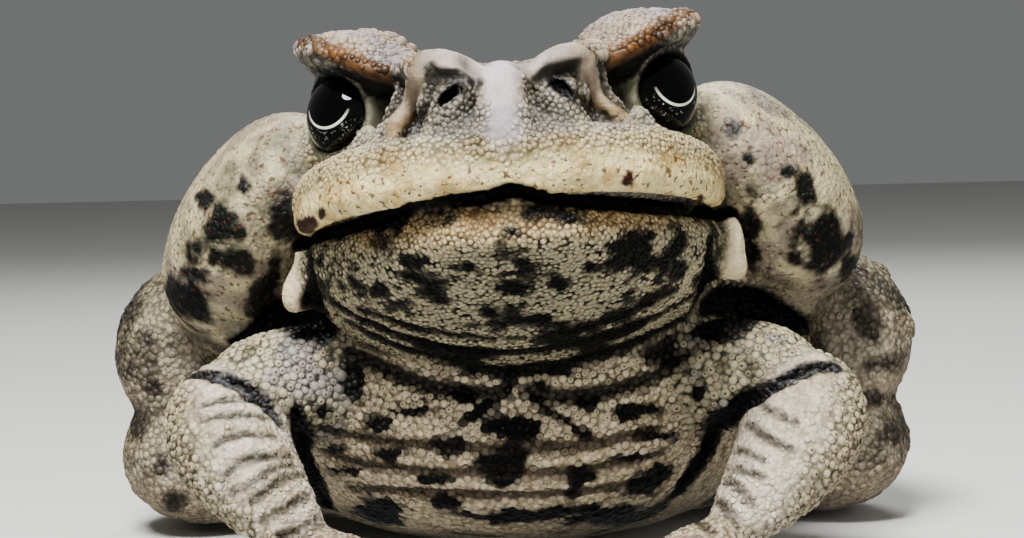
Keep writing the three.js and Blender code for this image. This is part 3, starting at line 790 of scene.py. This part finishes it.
def patchAmount(patches, seed, soft=0.3):
    wobble = drift(points, patchEdge["size"], seed, 3) * patchEdge["wobble"]
    amount = np.zeros(len(points))
    for x, y, wide, high, turn in patches:
        turn = math.radians(turn)
        farHere = toPhoto(clay.fromPhoto([(x, y)])[0])[2]
        near = (np.abs(pixelX - x) < 2 * max(wide, high)) & (np.abs(pixelY - y) < 2 * max(wide, high))
        near &= np.abs(farOff - farHere) < patchEdge["behind"] + max(wide, high) / patchEdge["bend"]
        a, b = pixelX[near] - x, pixelY[near] - y
        off = np.hypot((a * math.cos(turn) + b * math.sin(turn)) / wide,
                       (b * math.cos(turn) - a * math.sin(turn)) / high)
        amount[near] = np.maximum(amount[near], ramp(1 + soft / 2 + wobble[near] - off, 0, soft))
    return amount


# Head
lay(np.ones(len(points)), "#8d8468", "#4c4634")
lay(share["head"], "#aaa498", "#5b574c")
lay(share["head"] * ramp(mottle, 0.1, 0.5), "#bdb5a4", "#7a7464")
lay(zone["cheek"], "#c2b593", "#7c6e4e")
lay(zone["cheek"] * ramp(-mottle, 0.15, 0.5) * 0.7, "#a88f64", "#6b5535")
lay(zone["headTop"], "#ab9f8e", "#8a7c6a")
lay(zone["headTop"] * ramp(-mottle, 0.1, 0.5), "#9a8468", "#7d6a52")
lay(zone["membrane"], "#aaa792", "#a4a18c")
lay(zone["membrane"] * ramp(fine, 0.1, 0.5), "#bab6a2", "#b6b29e")
lay(zone["browTop"], "#b3a493", "#75604a")
lay(zone["browTop"] * ramp(mottle + fine * 0.6, 0.05, 0.5), "#a59d9c", "#6a5f5c")
lay(zone["ridge"], "#b3a796", "#ab9e8b")
lay(zone["ridge"] * ramp(-mottle - fine * 0.5, 0.0, 0.5) * 0.7, "#8d7f70", "#857665")
lay(zone["ridge"] * ramp(-headUp, -64, -59) * 0.6, "#90774a", "#8a7043")
lay(zone["saddle"] * 0.7, "#b1a7a6", "#aca2a0")
lay(zone["keel"] * 0.7, "#c9c1c4", "#c4bbbe")
# Lip
lay(zone["lip"], "#dcd1ac", "#cdc096")
lay(zone["lip"] * ramp(-mottle, 0.0, 0.5) * 0.8, "#c3b184", "#b19e70")
lay(zone["lip"] * ramp(fine, 0.2, 0.6) * 0.5, "#b89a62", "#a88a52")
lay(patchAmount(darkPatches["lip"], 99) * zone["lip"], patchLook["lip"])
# Throat and chin
throatMottle = drift(points, (5, 4, 3), 87, 4)
lay(zone["throat"], "#bdb49a", "#322f25")
lay(zone["throat"] * ramp(throatMottle, -0.06, 0.12) * 0.9, "#57533f", "#1b1a13")
lay(zone["throat"] * ramp(throatMottle, 0.16, 0.3), "#191811", "#0d0c08")
lay(zone["chin"] * ramp(-throatMottle, -0.4, 0.1), "#cbb68f", "#8d7855")
lay(zone["chin"] * ramp(-mottle, 0.2, 0.6) * 0.7, "#ab8f60", "#7d6439")
# Trunk
lay(zone["chest"], "#d3c8ae", "#4c4231")
lay(zone["belly"], "#ddd1b8", "#b2a488")
lay(zone["chest"] * ramp(-points[:, 2], -25, -17) * 0.9, "#ded2ba", "#a99a7e")
lay((share["trunk"] - zone["chest"]) * (1 - zone["belly"]) * ramp(drift(points, 11, 91, 2), 0.1, 0.3),
    "#564f3c", "#2c281d")
# Limbs
lay(zone["arm"], "#c4bba2", "#4f4a3a")
lay(zone["arm"] * ramp(mottle, 0.1, 0.4) * 0.75, "#a29d9c", "#454240")
lay(zone["arm"] * ramp(-mottle, 0.25, 0.5) * 0.8, "#6f6a52", "#2f2d20")
lay(zone["forearm"], "#d5ccbe", "#bdb3a2")
lay(zone["forearm"] * ramp(mottle, 0.0, 0.5) * 0.7, "#b9ae9a", "#988d78")
lay(zone["armOuter"], "#b8ae94", "#56503e")
lay(zone["hand"], "#bfb3a0", "#8c7f6c")
lay(zone["leg"], "#c3b9a9", "#9c9282")
lay(zone["leg"] * ramp(drift(points, 8, 95, 2), 0.15, 0.35) * 0.7, "#6f675b", "#3e382e")
lay(zone["leg"] * ramp(-outward[:, 2], 0.1, 0.5) * 0.8, "#bbae98", "#9d907b")
lay(zone["leg"] * zone["rear"] * 0.9, "#958b6f", "#4d4734")
lay(zone["leg"] * zone["rear"] * ramp(drift(points, 11, 91, 2), 0.1, 0.3), "#565040", "#2c281d")
lay(share["head"] * ramp(points[:, 1], 2, 12), "#9c927c", "#575040")
# Glands
lay(zone["gland"], "#d3c9ae", "#c4ba9c")
lay(zone["gland"] * ramp(mottle, 0.1, 0.5) * 0.7, "#a9a18c", "#978f7a")
lay(zone["gland"] * ramp(points[:, 1], 14, 30) * ramp(mottle, -0.5, 0.3) * 0.8, "#948b70", "#6f674f")
soiled = ramp(drift(points, 9, 121, 3), 0.02, 0.42) * (0.55 + 0.45 * ramp(fine, -0.4, 0.3))
lay(zone["gland"] * soiled * 0.8, "#86826f", "#6e6a57")
lay(zone["gland"] * ramp(drift(points, 5, 125, 2), 0.25, 0.5) * 0.6, "#a89a94", "#968880")
lay(zone["gape"], "#d2c8b0", "#bfb396")

chestOnly = 1 - share["head"] - share["lower_jaw"]
# dark chest markings, some of them painted shadow
lay(patchAmount(darkPatches["chest"], 101) * chestOnly, patchLook["chest"])
lay(patchAmount(darkPatches["throat"], 105) * zone["throat"], patchLook["throat"])
lay(patchAmount(darkPatches["glands"], 109, 0.6) * zone["gland"], patchLook["glands"])
lay(patchAmount(darkPatches["legs"], 113, 0.8) * (1 - zone["gland"] - zone["forearm"]),
    patchLook["legs"])
lay(zone["belly"] * ramp(points[:, 1], 10, 16) * ramp(drift(points, 6, 115, 2), 0.2, 0.35), "#4a4232")

# Lids, brow rims, nostrils, the mouth and the folds, with painted shadow under the brows and painted shade
# at the lids' edges, in the nostrils, the mouth and the folds
lay(zone["lowerLid"], "#86836c", "#7f7c66")
# painted shade at the lids' edges
lay(zone["lidEdge"] * (1 - zone["lowerLid"] * 0.6), "#2a261c", "#2a261c")
# painted shadow under the brows
lay(zone["underBrow"], "#1b1712")
lay(zone["rim"], "#7d5c2c", "#735225")
lay(zone["rim"] * ramp(mottle + fine * 0.8, -0.3, 0.1) * 0.85, "#4f3817", "#493213")
creaseShade = {"nostril": ("#0c0a08", 1.0), "underCanthus": ("#2b261c", 0.85),
              "besideNostril": ("#4a4433", 0.7), "underBrow": ("#3a3426", 0.7), "throat": ("#14130c", 0.9),
              "chest": ("#1d180f", 0.8), "belly": ("#4f3f2c", 0.65), "elbow": ("#120f0a", 1.0)}
# painted shade: the forearms' creases, the deep gaps between parts and the mouth's slit
gapShade = {"arm": ("#4b4335", 0.85), "gap": "#0d0b07", "mouth": "#0d0907"}
creaseSpread = {"face": 0.3, "body": 0.55, "arm": 0.2, "gap": 1.0}  # mm of painted shade past the carved walls


def kindOf(name):  # the kind of fold that a name starts with
    return next(kind for kind in creaseShade if name.startswith(kind))


def inStroke(line, stroke, spread, soft):  # 1 inside a carved stroke, with its paint spread past the walls
    return within(line, np.array(stroke[2]) + creaseSpread[spread], soft)


# painted shade in the carved folds and the nostrils
for name, line in creases.items():
    colour, strength = creaseShade[kindOf(name)]
    if name in faceFolds:
        inFold = inStroke(line, faceFolds[name], "face", 0.35)
    else:
        inFold = inStroke(line, bodyFolds[name], "body", 0.35)
    lay(inFold * strength, colour, colour)
# painted shade in the forearms' creases
for name, line in armLines.items():
    colour, strength = gapShade["arm"]
    lay(inStroke(line, armCreases[name], "arm", 0.3) * strength, colour, colour)
# painted shadow in the deep gaps between parts
for name, line in gapLines.items():
    lay(inStroke(line, deepGaps[name], "gap", 0.6), gapShade["gap"], gapShade["gap"])
# painted shadow in the mouth's slit
for line in mouthLines:
    lay(within(line, [mouthSlot["paint"]], 0.3), gapShade["mouth"], gapShade["mouth"])

# Painted shade and highlight: hollows are painted darker, what stands out lighter, and broad hollows
# between parts get a painted shadow
shade = relief["dark"] + (relief["light"] - relief["dark"]) * ramp(bulge, relief["hollow"], relief["crest"])
shade *= relief["shadow"] + (1 - relief["shadow"]) * ramp(broadBulge, relief["deep"], relief["open"])
shade *= 1 + relief["fine"] * fine + relief["mottle"] * mottle
paint.tone = np.clip(paint.tone ** relief["depth"] * shade[:, None], 0, 1)
paint.ground = np.clip(paint.ground ** relief["depth"] * shade[:, None], 0, 1)
setAttribute(skinMesh, "tone", paint.tone)
setAttribute(skinMesh, "ground", paint.ground)
plain = np.clip(zone["ridge"] + zone["keel"] + zone["saddle"] + zone["membrane"] + zone["rim"], 0, 1)
cobble = (1 - 0.6 * zone["lip"] - 0.5 * zone["gland"] - 0.3 * zone["forearm"] - 0.85 * plain
          - 0.5 * zone["gape"])
freckled = (zone["lip"] + 0.9 * zone["gland"] + 0.7 * zone["chin"] + 0.35 * zone["leg"]
            + 0.3 * zone["forearm"] + 0.3 * zone["belly"])
setAttribute(skinMesh, "cobble", np.clip(cobble, 0, 1))
setAttribute(skinMesh, "freckle", np.clip(freckled, 0, 1))
skinMesh.vertices.foreach_set("co", toFrame(points).astype(np.float32).ravel())
skinMesh.update()
print("skin painted")


# A node tree, with its nodes added one call each and its sockets taking Python's operators
class Wire:
    def __init__(self, net, node, socket):
        self.net, self.node, self.socket = net, node, socket

    def other(self, name):
        return Wire(self.net, self.node, self.node.outputs[name])

    def maths(self, operation, *values, clamp=False):
        return self.net.add(self.net.mathsNode, {"operation": operation, "use_clamp": clamp},
                            dict(enumerate(values)))

    def __add__(self, other):
        return self.maths("ADD", self, other)

    def __sub__(self, other):
        return self.maths("SUBTRACT", self, other)

    def __rsub__(self, other):
        return self.maths("SUBTRACT", other, self)

    def __mul__(self, other):
        return self.maths("MULTIPLY", self, other)

    def __rtruediv__(self, other):
        return self.maths("DIVIDE", other, self)

    def __lt__(self, other):
        return self.maths("LESS_THAN", self, other)

    __radd__, __rmul__ = __add__, __mul__

    def between(self, low, high):  # 0 below low and 1 above high
        return self.maths("DIVIDE", self - low, high - low, clamp=True)


class Net:
    mathsNode = "ShaderNodeMath"

    def __init__(self, tree):
        self.tree = tree

    def add(self, kind, settings=None, sockets=None, out=0):
        node = self.tree.nodes.new(kind)
        for name, value in (settings or {}).items():
            setattr(node, name, value)
        for name, value in (sockets or {}).items():
            if isinstance(value, Wire):
                self.tree.links.new(value.socket, node.inputs[name])
            else:
                node.inputs[name].default_value = value
        return Wire(self, node, node.outputs[out] if node.outputs else None)

    def attribute(self, name, out="Color"):
        return self.add("ShaderNodeAttribute", {"attribute_name": name}, out=out)

    def mix(self, factor, a, b):
        return self.add("ShaderNodeMix", {"data_type": "RGBA", "clamp_factor": True},
                        {0: factor, 6: a, 7: b}, out=2)

    def scaled(self, colour, factor):  # a colour made brighter or darker
        return self.add("ShaderNodeVectorMath", {"operation": "SCALE"}, {"Vector": colour, "Scale": factor})

    def noise(self, size, detail=2.0, rough=0.5):  # noise with features of a size in mm, from 0 to 1
        place = self.add("ShaderNodeTexCoord", out="Object")
        return self.add("ShaderNodeTexNoise", {}, {"Vector": place, "Scale": 1 / (size * millimetre),
                                                   "Detail": detail, "Roughness": rough})

    def split(self, vector, out="Z"):
        return self.add("ShaderNodeSeparateXYZ", {}, {"Vector": vector}, out=out)

    def bump(self, height, depth):  # depth in mm for a height of 1
        return self.add("ShaderNodeBump", {}, {"Height": height, "Strength": 1.0,
                                               "Distance": depth * millimetre}, out="Normal")


def rgb(code):
    return (*linear(code), 1)


def material(name, build):
    made = bpy.data.materials.new(name)
    made.use_nodes = True
    net = Net(made.node_tree)
    shader = made.node_tree.nodes["Principled BSDF"]
    for socket, value in build(net).items():
        if isinstance(value, Wire):
            made.node_tree.links.new(value.socket, shader.inputs[socket])
        else:
            shader.inputs[socket].default_value = value
    return made


cobbles = {"size": 0.85, "soft": 0.3, "gap": 0.72, "rise": 0.42, "depth": 0.3}  # sizes in mm
freckles = {"size": 0.8, "edge": (0.62, 0.67), "strength": 0.85, "colour": "#42240f"}


def toadSkin(net):  # damp leathery skin, cobbled between the granules, with painted shade in the cobbles' gaps
    grain, pores = net.noise(0.35, 3.0, 0.6), net.noise(1.2, 3.0)
    place = net.add("ShaderNodeTexCoord", out="Object")
    cell = net.add("ShaderNodeTexVoronoi", {"feature": "SMOOTH_F1"},
                   {"Vector": place, "Scale": 1 / (cobbles["size"] * millimetre),
                    "Smoothness": cobbles["soft"]}, out="Distance")
    crown = (cobbles["gap"] - cell).between(0, cobbles["rise"]) * net.attribute("cobble", out="Fac")
    # the darker ground in each cobble's gap is painted shade
    colour = net.mix(crown * 0.85, net.attribute("ground"), net.attribute("tone"))
    colour = net.scaled(colour, 0.5 + grain * 0.6 + pores * 0.34)
    freckle = net.noise(freckles["size"], 1.0, 0.4).between(*freckles["edge"])
    freckle = freckle * net.attribute("freckle", out="Fac") * freckles["strength"]
    return {"Base Color": net.mix(freckle, colour, rgb(freckles["colour"])),
            "Roughness": 0.42 + pores * 0.2, "Normal": net.bump(crown + grain * 0.4, cobbles["depth"]),
            "Specular IOR Level": 0.32, "Coat Weight": 0.06, "Coat Roughness": 0.28}


def granuleSkin(net):  # granules: pale crowns on a foot darkened with painted shade, some with horny tips
    height = net.split(net.attribute("crown"))
    pick = net.attribute("pick", out="Fac")
    tips = net.attribute("tips", out="Fac")
    grain = net.noise(0.3, 2.0, 0.6)
    # painted shade: each granule is darker towards its foot
    body = net.scaled(net.attribute("tone"), (0.3 + height.between(0.1, 0.85) * 0.68)
                      * (0.8 + pick * 0.3) * (0.72 + grain * 0.5))
    horn = net.mix(pick.between(0, 0.45), rgb("#0d0805"), rgb("#4b2c14"))
    tipped = (pick < tips) * height.between(0.88, 0.95)
    return {"Base Color": net.mix(tipped, body, horn), "Roughness": 0.4 + grain * 0.22,
            "Normal": net.bump(grain, 0.08), "Specular IOR Level": 0.32,
            "Coat Weight": 0.08, "Coat Roughness": 0.25}


# The eye's rings are angles from the way it looks, in degrees, and shares of the way down
eyeLook = {"ring": (31.6, 32.4, 34.4, 35.4), "ringDown": (0.12, 0.4), "iris": (36, 39, 44, 58),
           "irisDown": (0.2, 0.45), "pupil": (33, 35), "fleck": 0.45, "flecks": (0.6, 0.68)}


def glossyEye(net):  # a wet black ball with a thin pale iris ring and pale flecks under the pupil, partly a painted reflection
    parts = net.split(net.attribute("gaze"))
    down = 0 - parts.other("Y")
    turn = parts.maths("ARCCOSINE", parts) * (180 / math.pi)

    def band(starts, full, fades, ends):
        return turn.between(starts, full) * (1 - turn.between(fades, ends))

    # ring and flecks only on the lower side: pale iris, partly a painted reflection of the sky
    ring = band(*eyeLook["ring"]) * down.between(*eyeLook["ringDown"])
    iris = band(*eyeLook["iris"]) * down.between(*eyeLook["irisDown"])
    flecks = net.noise(eyeLook["fleck"], 3.0, 0.7).between(*eyeLook["flecks"])
    base = net.mix(turn.between(*eyeLook["pupil"]), rgb("#010101"), rgb("#040403"))
    base = net.mix(iris * flecks, base, rgb("#a9a9a4"))
    base = net.mix(ring * 0.9, base, rgb("#e9e4d2"))
    return {"Base Color": base, "Roughness": 0.04, "Specular IOR Level": 0.2, "Coat Weight": 0.1,
            "Coat Roughness": 0.02}


skinMaterial = material("toadSkin", toadSkin)
granuleMaterial = material("granuleSkin", granuleSkin)
eyeMaterial = material("glossyEye", glossyEye)

skinObject = newObject("skin", skinMesh)
skinMesh.name = "skin"

granuleCrowd = 9.0  # tries for each place, so that granules stand close
granuleBake = 0.0015  # how far a granule's own patch spreads in the baked picture


def growGranules():  # the node tree that sets granules on the skin
    tree = bpy.data.node_groups.new("granules", "GeometryNodeTree")
    names = {}
    for name, kind in {"Geometry": "Geometry", "Where": "String", "Spacing": "Float", "Small": "Float",
                       "Large": "Float", "Height": "Float", "Sink": "Float", "Around": "Int",
                       "Rings": "Int", "Seed": "Int", "Unwrap": "Object", "Material": "Material"}.items():
        socket = tree.interface.new_socket(name, in_out="INPUT", socket_type=f"NodeSocket{kind}")
        names[name] = socket.identifier
    tree.interface.new_socket("Geometry", in_out="OUTPUT", socket_type="NodeSocketGeometry")
    net = Net(tree)
    given = net.add("NodeGroupInput")

    def named(name, kind="FLOAT_VECTOR"):
        return net.add("GeometryNodeInputNamedAttribute", {"data_type": kind}, {"Name": name})

    where = named(given.other("Where"), "FLOAT")
    spacing = given.other("Spacing")
    spots = net.add("GeometryNodeDistributePointsOnFaces", {"distribute_method": "POISSON"},
                    {"Mesh": given.other("Geometry"), "Distance Min": spacing,
                     "Density Max": granuleCrowd / (spacing * spacing), "Density Factor": where,
                     "Seed": given.other("Seed")})
    place = net.add("GeometryNodeInputPosition")
    unwrapped = net.add("GeometryNodeObjectInfo", {"transform_space": "ORIGINAL"},
                        {"Object": given.other("Unwrap")}, out="Geometry")
    root = net.add("GeometryNodeSampleNearestSurface", {"data_type": "FLOAT_VECTOR"},
                   {"Mesh": unwrapped, "Value": named("unwrap"), "Sample Position": place})

    def keep(geometry, name, value, kind="FLOAT_VECTOR", domain="POINT"):
        return net.add("GeometryNodeStoreNamedAttribute", {"data_type": kind, "domain": domain},
                       {"Geometry": geometry, "Name": name, "Value": value})

    def draw(low, high, shift):  # one random number for each granule
        return net.add("FunctionNodeRandomValue", {"data_type": "FLOAT"},
                       {2: low, 3: high, "Seed": given.other("Seed") + shift}, out=1)

    faced = spots.other("Rotation")
    spots = keep(keep(spots, "pick", draw(0.0, 1.0, 1), "FLOAT"), "root", root)
    dome = net.add("GeometryNodeMeshUVSphere", {}, {"Segments": given.other("Around"),
                                                    "Rings": given.other("Rings"), "Radius": 1.0})
    dome = keep(dome, "crown", place)
    shape = net.add("ShaderNodeCombineXYZ", {}, {"X": 1.0, "Y": 1.0, "Z": given.other("Height")})
    down = net.add("ShaderNodeCombineXYZ", {}, {"Z": 0 - given.other("Sink") * given.other("Height")})
    dome = net.add("GeometryNodeTransform", {}, {"Geometry": dome, "Scale": shape, "Translation": down})
    spin = net.add("FunctionNodeAxisAngleToRotation", {},
                   {"Axis": (0, 0, 1), "Angle": draw(0.0, 2 * math.pi, 2)})
    upright = net.add("FunctionNodeRotateRotation", {"rotation_space": "LOCAL"}, {0: faced, 1: spin})
    skew = draw(0.0, 1.0, 3)
    size = given.other("Small") + (given.other("Large") - given.other("Small")) * skew * skew
    grown = net.add("GeometryNodeInstanceOnPoints", {},
                    {"Points": spots, "Instance": dome, "Rotation": upright, "Scale": size})
    grown = net.add("GeometryNodeRealizeInstances", {}, {"Geometry": grown})
    patch = net.add("ShaderNodeVectorMath", {"operation": "MULTIPLY_ADD"},
                    {0: named("crown"), 1: (granuleBake, granuleBake, 0), 2: named("root")})
    grown = keep(grown, "OFBake", patch, "FLOAT2", "CORNER")
    grown = net.add("GeometryNodeSetMaterial", {}, {"Geometry": grown, "Material": given.other("Material")})
    grown = net.add("GeometryNodeSetShadeSmooth", {}, {"Geometry": grown})
    net.add("NodeGroupOutput", {}, {0: grown})
    return tree, names


granuleTree, granuleInputs = growGranules()
unwrapSize = {"faces": 7000, "angle": 66, "gap": 0.004}


def unwrapSkin():  # a coarse copy of the skin laid out flat without overlaps
    coarse = newObject("coarse", skinMesh.copy())
    fewer = coarse.modifiers.new("fewer", "DECIMATE")
    fewer.ratio = unwrapSize["faces"] / len(skinMesh.polygons)
    flat = newObject("unwrapped", bake(coarse))
    remove(coarse)
    flat.data.uv_layers.new(name="unwrap")
    bpy.context.view_layer.objects.active = flat
    flat.select_set(True)
    bpy.ops.object.mode_set(mode="EDIT")
    bpy.ops.mesh.select_all(action="SELECT")
    bpy.ops.uv.smart_project(angle_limit=math.radians(unwrapSize["angle"]),
                             island_margin=unwrapSize["gap"])
    bpy.ops.object.mode_set(mode="OBJECT")
    flat.select_set(False)
    return flat


# Granules, by where they grow. Spacing and radii are in mm, height and sink are shares of the radius,
# and around and rings are the faces of one dome.
granuleFacts = ("slot", "spacing", "radii", "height", "sink", "around", "rings")
granules = {
    "snoutPearls": ("hide", 0.66, (0.36, 0.56), 0.5, 0.25, 6, 4),
    "browCrust": ("hide", 0.72, (0.38, 1.05), 0.8, 0.3, 7, 5),
    "lipPearls": ("hide", 0.7, (0.3, 0.5), 0.25, 0.3, 6, 4),
    "throatPearls": ("throat", 0.68, (0.36, 0.5), 0.34, 0.25, 6, 3),
    "chestPearls": ("belly", 0.9, (0.5, 0.74), 0.36, 0.25, 7, 4),
    "bellyPearls": ("belly", 1.05, (0.62, 0.8), 0.2, 0.25, 6, 3),
    "armPearls": ("hide", 0.94, (0.5, 0.85), 0.42, 0.25, 8, 5),
    "forearmPearls": ("hide", 0.94, (0.52, 0.85), 0.6, 0.25, 7, 5),
    "wristPearls": ("hide", 0.8, (0.3, 0.56), 0.4, 0.3, 6, 4),
    "glandPearls": ("gland", 1.1, (0.3, 0.65), 0.24, 0.3, 7, 4),
    "backPearls": ("hide", 1.2, (0.65, 1.1), 0.5, 0.25, 6, 3),
    "legPearls": ("hide", 1.1, (0.6, 0.95), 0.24, 0.25, 6, 3),
}
# What is kept free of granules, in mm round the folds
clearing = {"nostril": 1.2, "underCanthus": 0.7, "besideNostril": 0.7, "underBrow": 0.7, "elbow": 1.8}
browEdge = {"radius": 0.5, "soft": 0.25}
rimLine = np.maximum(*[within(browRims[name], [browEdge["radius"]], browEdge["soft"]) for name in sides])
clear = ramp(eyeFar, 7.4, 8.2) * (1 - rimLine) * (1 - zone["lowerLid"] * 0.3)
clear = clear * (1 - zone["underBrow"] * 0.9)
for line in mouthLines:
    clear = clear * (1 - within(line, [mouthSlot["clear"]], 0.3))
for name, line in creases.items():
    if kindOf(name) in clearing:
        clear = clear * (1 - within(line, [clearing[kindOf(name)]], 0.3))
for name, line in gapLines.items():
    clear = clear * (1 - within(line, deepGaps[name][2], 0.8))
clear = clear * (1 - zone["ridge"]) * (1 - zone["keel"]) * (1 - zone["saddle"])
topHead = np.maximum(zone["headTop"], zone["browTop"])
where = {
    "snoutPearls": share["head"] * (1 - topHead) * (1 - zone["lip"]) * (1 - zone["membrane"])
    * ramp(-headUp, -66.5, -65),
    "browCrust": np.maximum(zone["browTop"], zone["headTop"] * ramp(points[:, 1], -12, 0) * 0.5),
    "lipPearls": zone["lip"] * ramp(headUp, 52, 54) * ramp(-headSide, -26, -20) * 0.5,
    "throatPearls": zone["throat"],
    "chestPearls": zone["chest"] * ramp(points[:, 2], 12, 18),
    "bellyPearls": zone["chest"] * ramp(-points[:, 2], -18, -12) + zone["belly"] * (1 - zone["chest"]),
    "armPearls": zone["arm"],
    "forearmPearls": zone["armOuter"],
    "wristPearls": (zone["forearm"] - zone["armOuter"]) * (0.25 + 0.5 * ramp(-points[:, 2], -18, -10))
    + zone["hand"] * 0.6,
    "glandPearls": zone["gland"] * 0.3,
    "backPearls": share["trunk"] * (1 - zone["chest"]) * (1 - zone["belly"]),
    "legPearls": zone["leg"] * 0.6,
}
tips = (0.7 * zone["armOuter"] + 0.4 * zone["arm"] + 0.12 * zone["gland"] + 0.45 * zone["chest"]
        + 0.15 * topHead + 0.25 * zone["leg"] + 0.3 * (share["trunk"] - zone["chest"])
        + 0.05 * share["head"] + 0.12 * zone["forearm"])
setAttribute(skinMesh, "tips", np.clip(tips, 0, 1))
skinMesh.materials.append(skinMaterial)
unwrapped = unwrapSkin()
print("skin unwrapped")


def grow(name, look, seed):
    base = newObject(name, skinMesh.copy())
    setAttribute(base.data, "where", np.clip(where[name] * clear, 0, 1))
    growing = base.modifiers.new("granules", "NODES")
    growing.node_group = granuleTree
    small, large = np.array(look["radii"]) * millimetre
    given = {"Where": "where", "Spacing": look["spacing"] * millimetre, "Small": float(small),
             "Large": float(large), "Seed": seed, "Unwrap": unwrapped, "Material": granuleMaterial}
    given.update({key.capitalize(): look[key] for key in ("height", "sink", "around", "rings")})
    for key, value in given.items():
        growing[granuleInputs[key]] = value
    mesh = bake(base)
    remove(base)
    mesh.name = name
    for unwanted in ("root", "where", "ground"):
        if unwanted in mesh.attributes:
            mesh.attributes.remove(mesh.attributes[unwanted])
    grown = newObject(name, mesh)
    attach(grown, "root")
    print(name, len(mesh.polygons), "faces")


for seed, (name, facts) in enumerate(granules.items(), 1):
    grow(name, dict(zip(granuleFacts, facts)), seed)
remove(unwrapped)

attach(skinObject, "root")
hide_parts(*fleshNodes)

# Eyes: smooth balls. Each point keeps its direction, as seen along the gaze, for the paint.
ball = {"around": 64, "rings": 40, "gaze": (3.2, -4.5, 2.1)}


def makeEye(name, side):
    turn, lap = np.meshgrid(np.linspace(0, math.pi, ball["rings"] + 1)[1:-1],
                            np.arange(ball["around"]) / ball["around"] * 2 * math.pi, indexing="ij")
    own = np.stack([np.sin(turn) * np.cos(lap), np.sin(turn) * np.sin(lap), np.cos(turn)], -1)
    own = np.vstack([own.reshape(-1, 3), (0, 0, 1), (0, 0, -1)])
    ahead = unit(np.array(ball["gaze"]) * (side, 1, 1))
    across = unit(np.cross(ahead, [0, 0, 1]))
    up = np.cross(across, ahead)
    n, rows = ball["around"], ball["rings"] - 1
    k = np.arange(n)
    after = (k + 1) % n
    quads = np.vstack([np.stack([r * n + k, (r + 1) * n + k, (r + 1) * n + after, r * n + after], -1)
                       for r in range(rows - 1)])
    mesh = bpy.data.meshes.new(f"eyeball_{name}")
    faces = [tuple(q) for q in quads.tolist()]
    faces += [(rows * n, int(a), int(b)) for a, b in zip(k, after)]
    faces += [(rows * n + 1, (rows - 1) * n + int(b), (rows - 1) * n + int(a)) for a, b in zip(k, after)]
    places = eyePlaces[name] + eyes["radius"] * (own @ np.stack([across, up, ahead]))
    mesh.from_pydata(toFrame(places).tolist(), [], faces)
    mesh.shade_smooth()
    setAttribute(mesh, "gaze", own)
    mesh.materials.append(eyeMaterial)
    made = newObject(f"eyeball_{name}", mesh)
    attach(made, "root")
    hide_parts(f"eye_{name}")


for name, side in sides.items():
    makeEye(name, side)
print("eyes made")

# Camera
camera = newObject("camera", bpy.data.cameras.new("camera"))
camera.data.lens, camera.data.sensor_width = view["lens"], view["sensor"]
camera.location = toFrame(np.array(view["place"], float))
camera.rotation_euler = (Matrix.Rotation(math.radians(90 - view["pitch"]), 3, "X")
                         @ Matrix.Rotation(math.radians(-view["roll"]), 3, "Z")).to_euler()
camera.data.clip_start, camera.data.clip_end = view["clip"]
bpy.context.scene.camera = camera

# Light: a plain soft studio. Each lamp has its place, what it aims at, its width and its power.
lamps = {
    "key": {"place": (-0.12, -0.42, 0.62), "aim": (0, -0.02, 0.04), "size": 0.3, "power": 18.5},
    "fill": {"place": (0.5, -0.6, 0.3), "aim": (0, 0, 0.03), "size": 0.5, "power": 1.6},
    "back": {"place": (0.1, 0.6, 0.6), "aim": (0, 0, 0.04), "size": 0.4, "power": 4},
}
for name, look in lamps.items():
    light = bpy.data.lights.new(name, "AREA")
    light.shape, light.size, light.energy = "DISK", look["size"], look["power"]
    lamp = newObject(name, light)
    lamp.location = look["place"]
    lamp.visible_glossy = name != "fill"  # only the key light shows in the eyes
    lamp.rotation_euler = (Vector(look["place"]) - Vector(look["aim"])).to_track_quat("Z", "Y").to_euler()

studio = {"colour": "#dfe3e2", "strength": 0.22}
world = bpy.data.worlds.new("studio")
bpy.context.scene.world = world
world.use_nodes = True
world.node_tree.nodes["Background"].inputs["Color"].default_value = rgb(studio["colour"])
world.node_tree.nodes["Background"].inputs["Strength"].default_value = studio["strength"]

floorLook = {"half": 3.0, "colour": "#c9c8c4", "rough": 0.7}
corners = np.array([(-1, -1, 0), (1, -1, 0), (1, 1, 0), (-1, 1, 0)]) * floorLook["half"]
floor = makeObject("floor", corners, np.array([[0, 1, 2, 3]]))
floor.data.materials.append(material("paleFloor", lambda net: {
    "Base Color": rgb(floorLook["colour"]), "Roughness": floorLook["rough"]}))
floor.visible_glossy = False  # keeps the pale floor out of the eyes
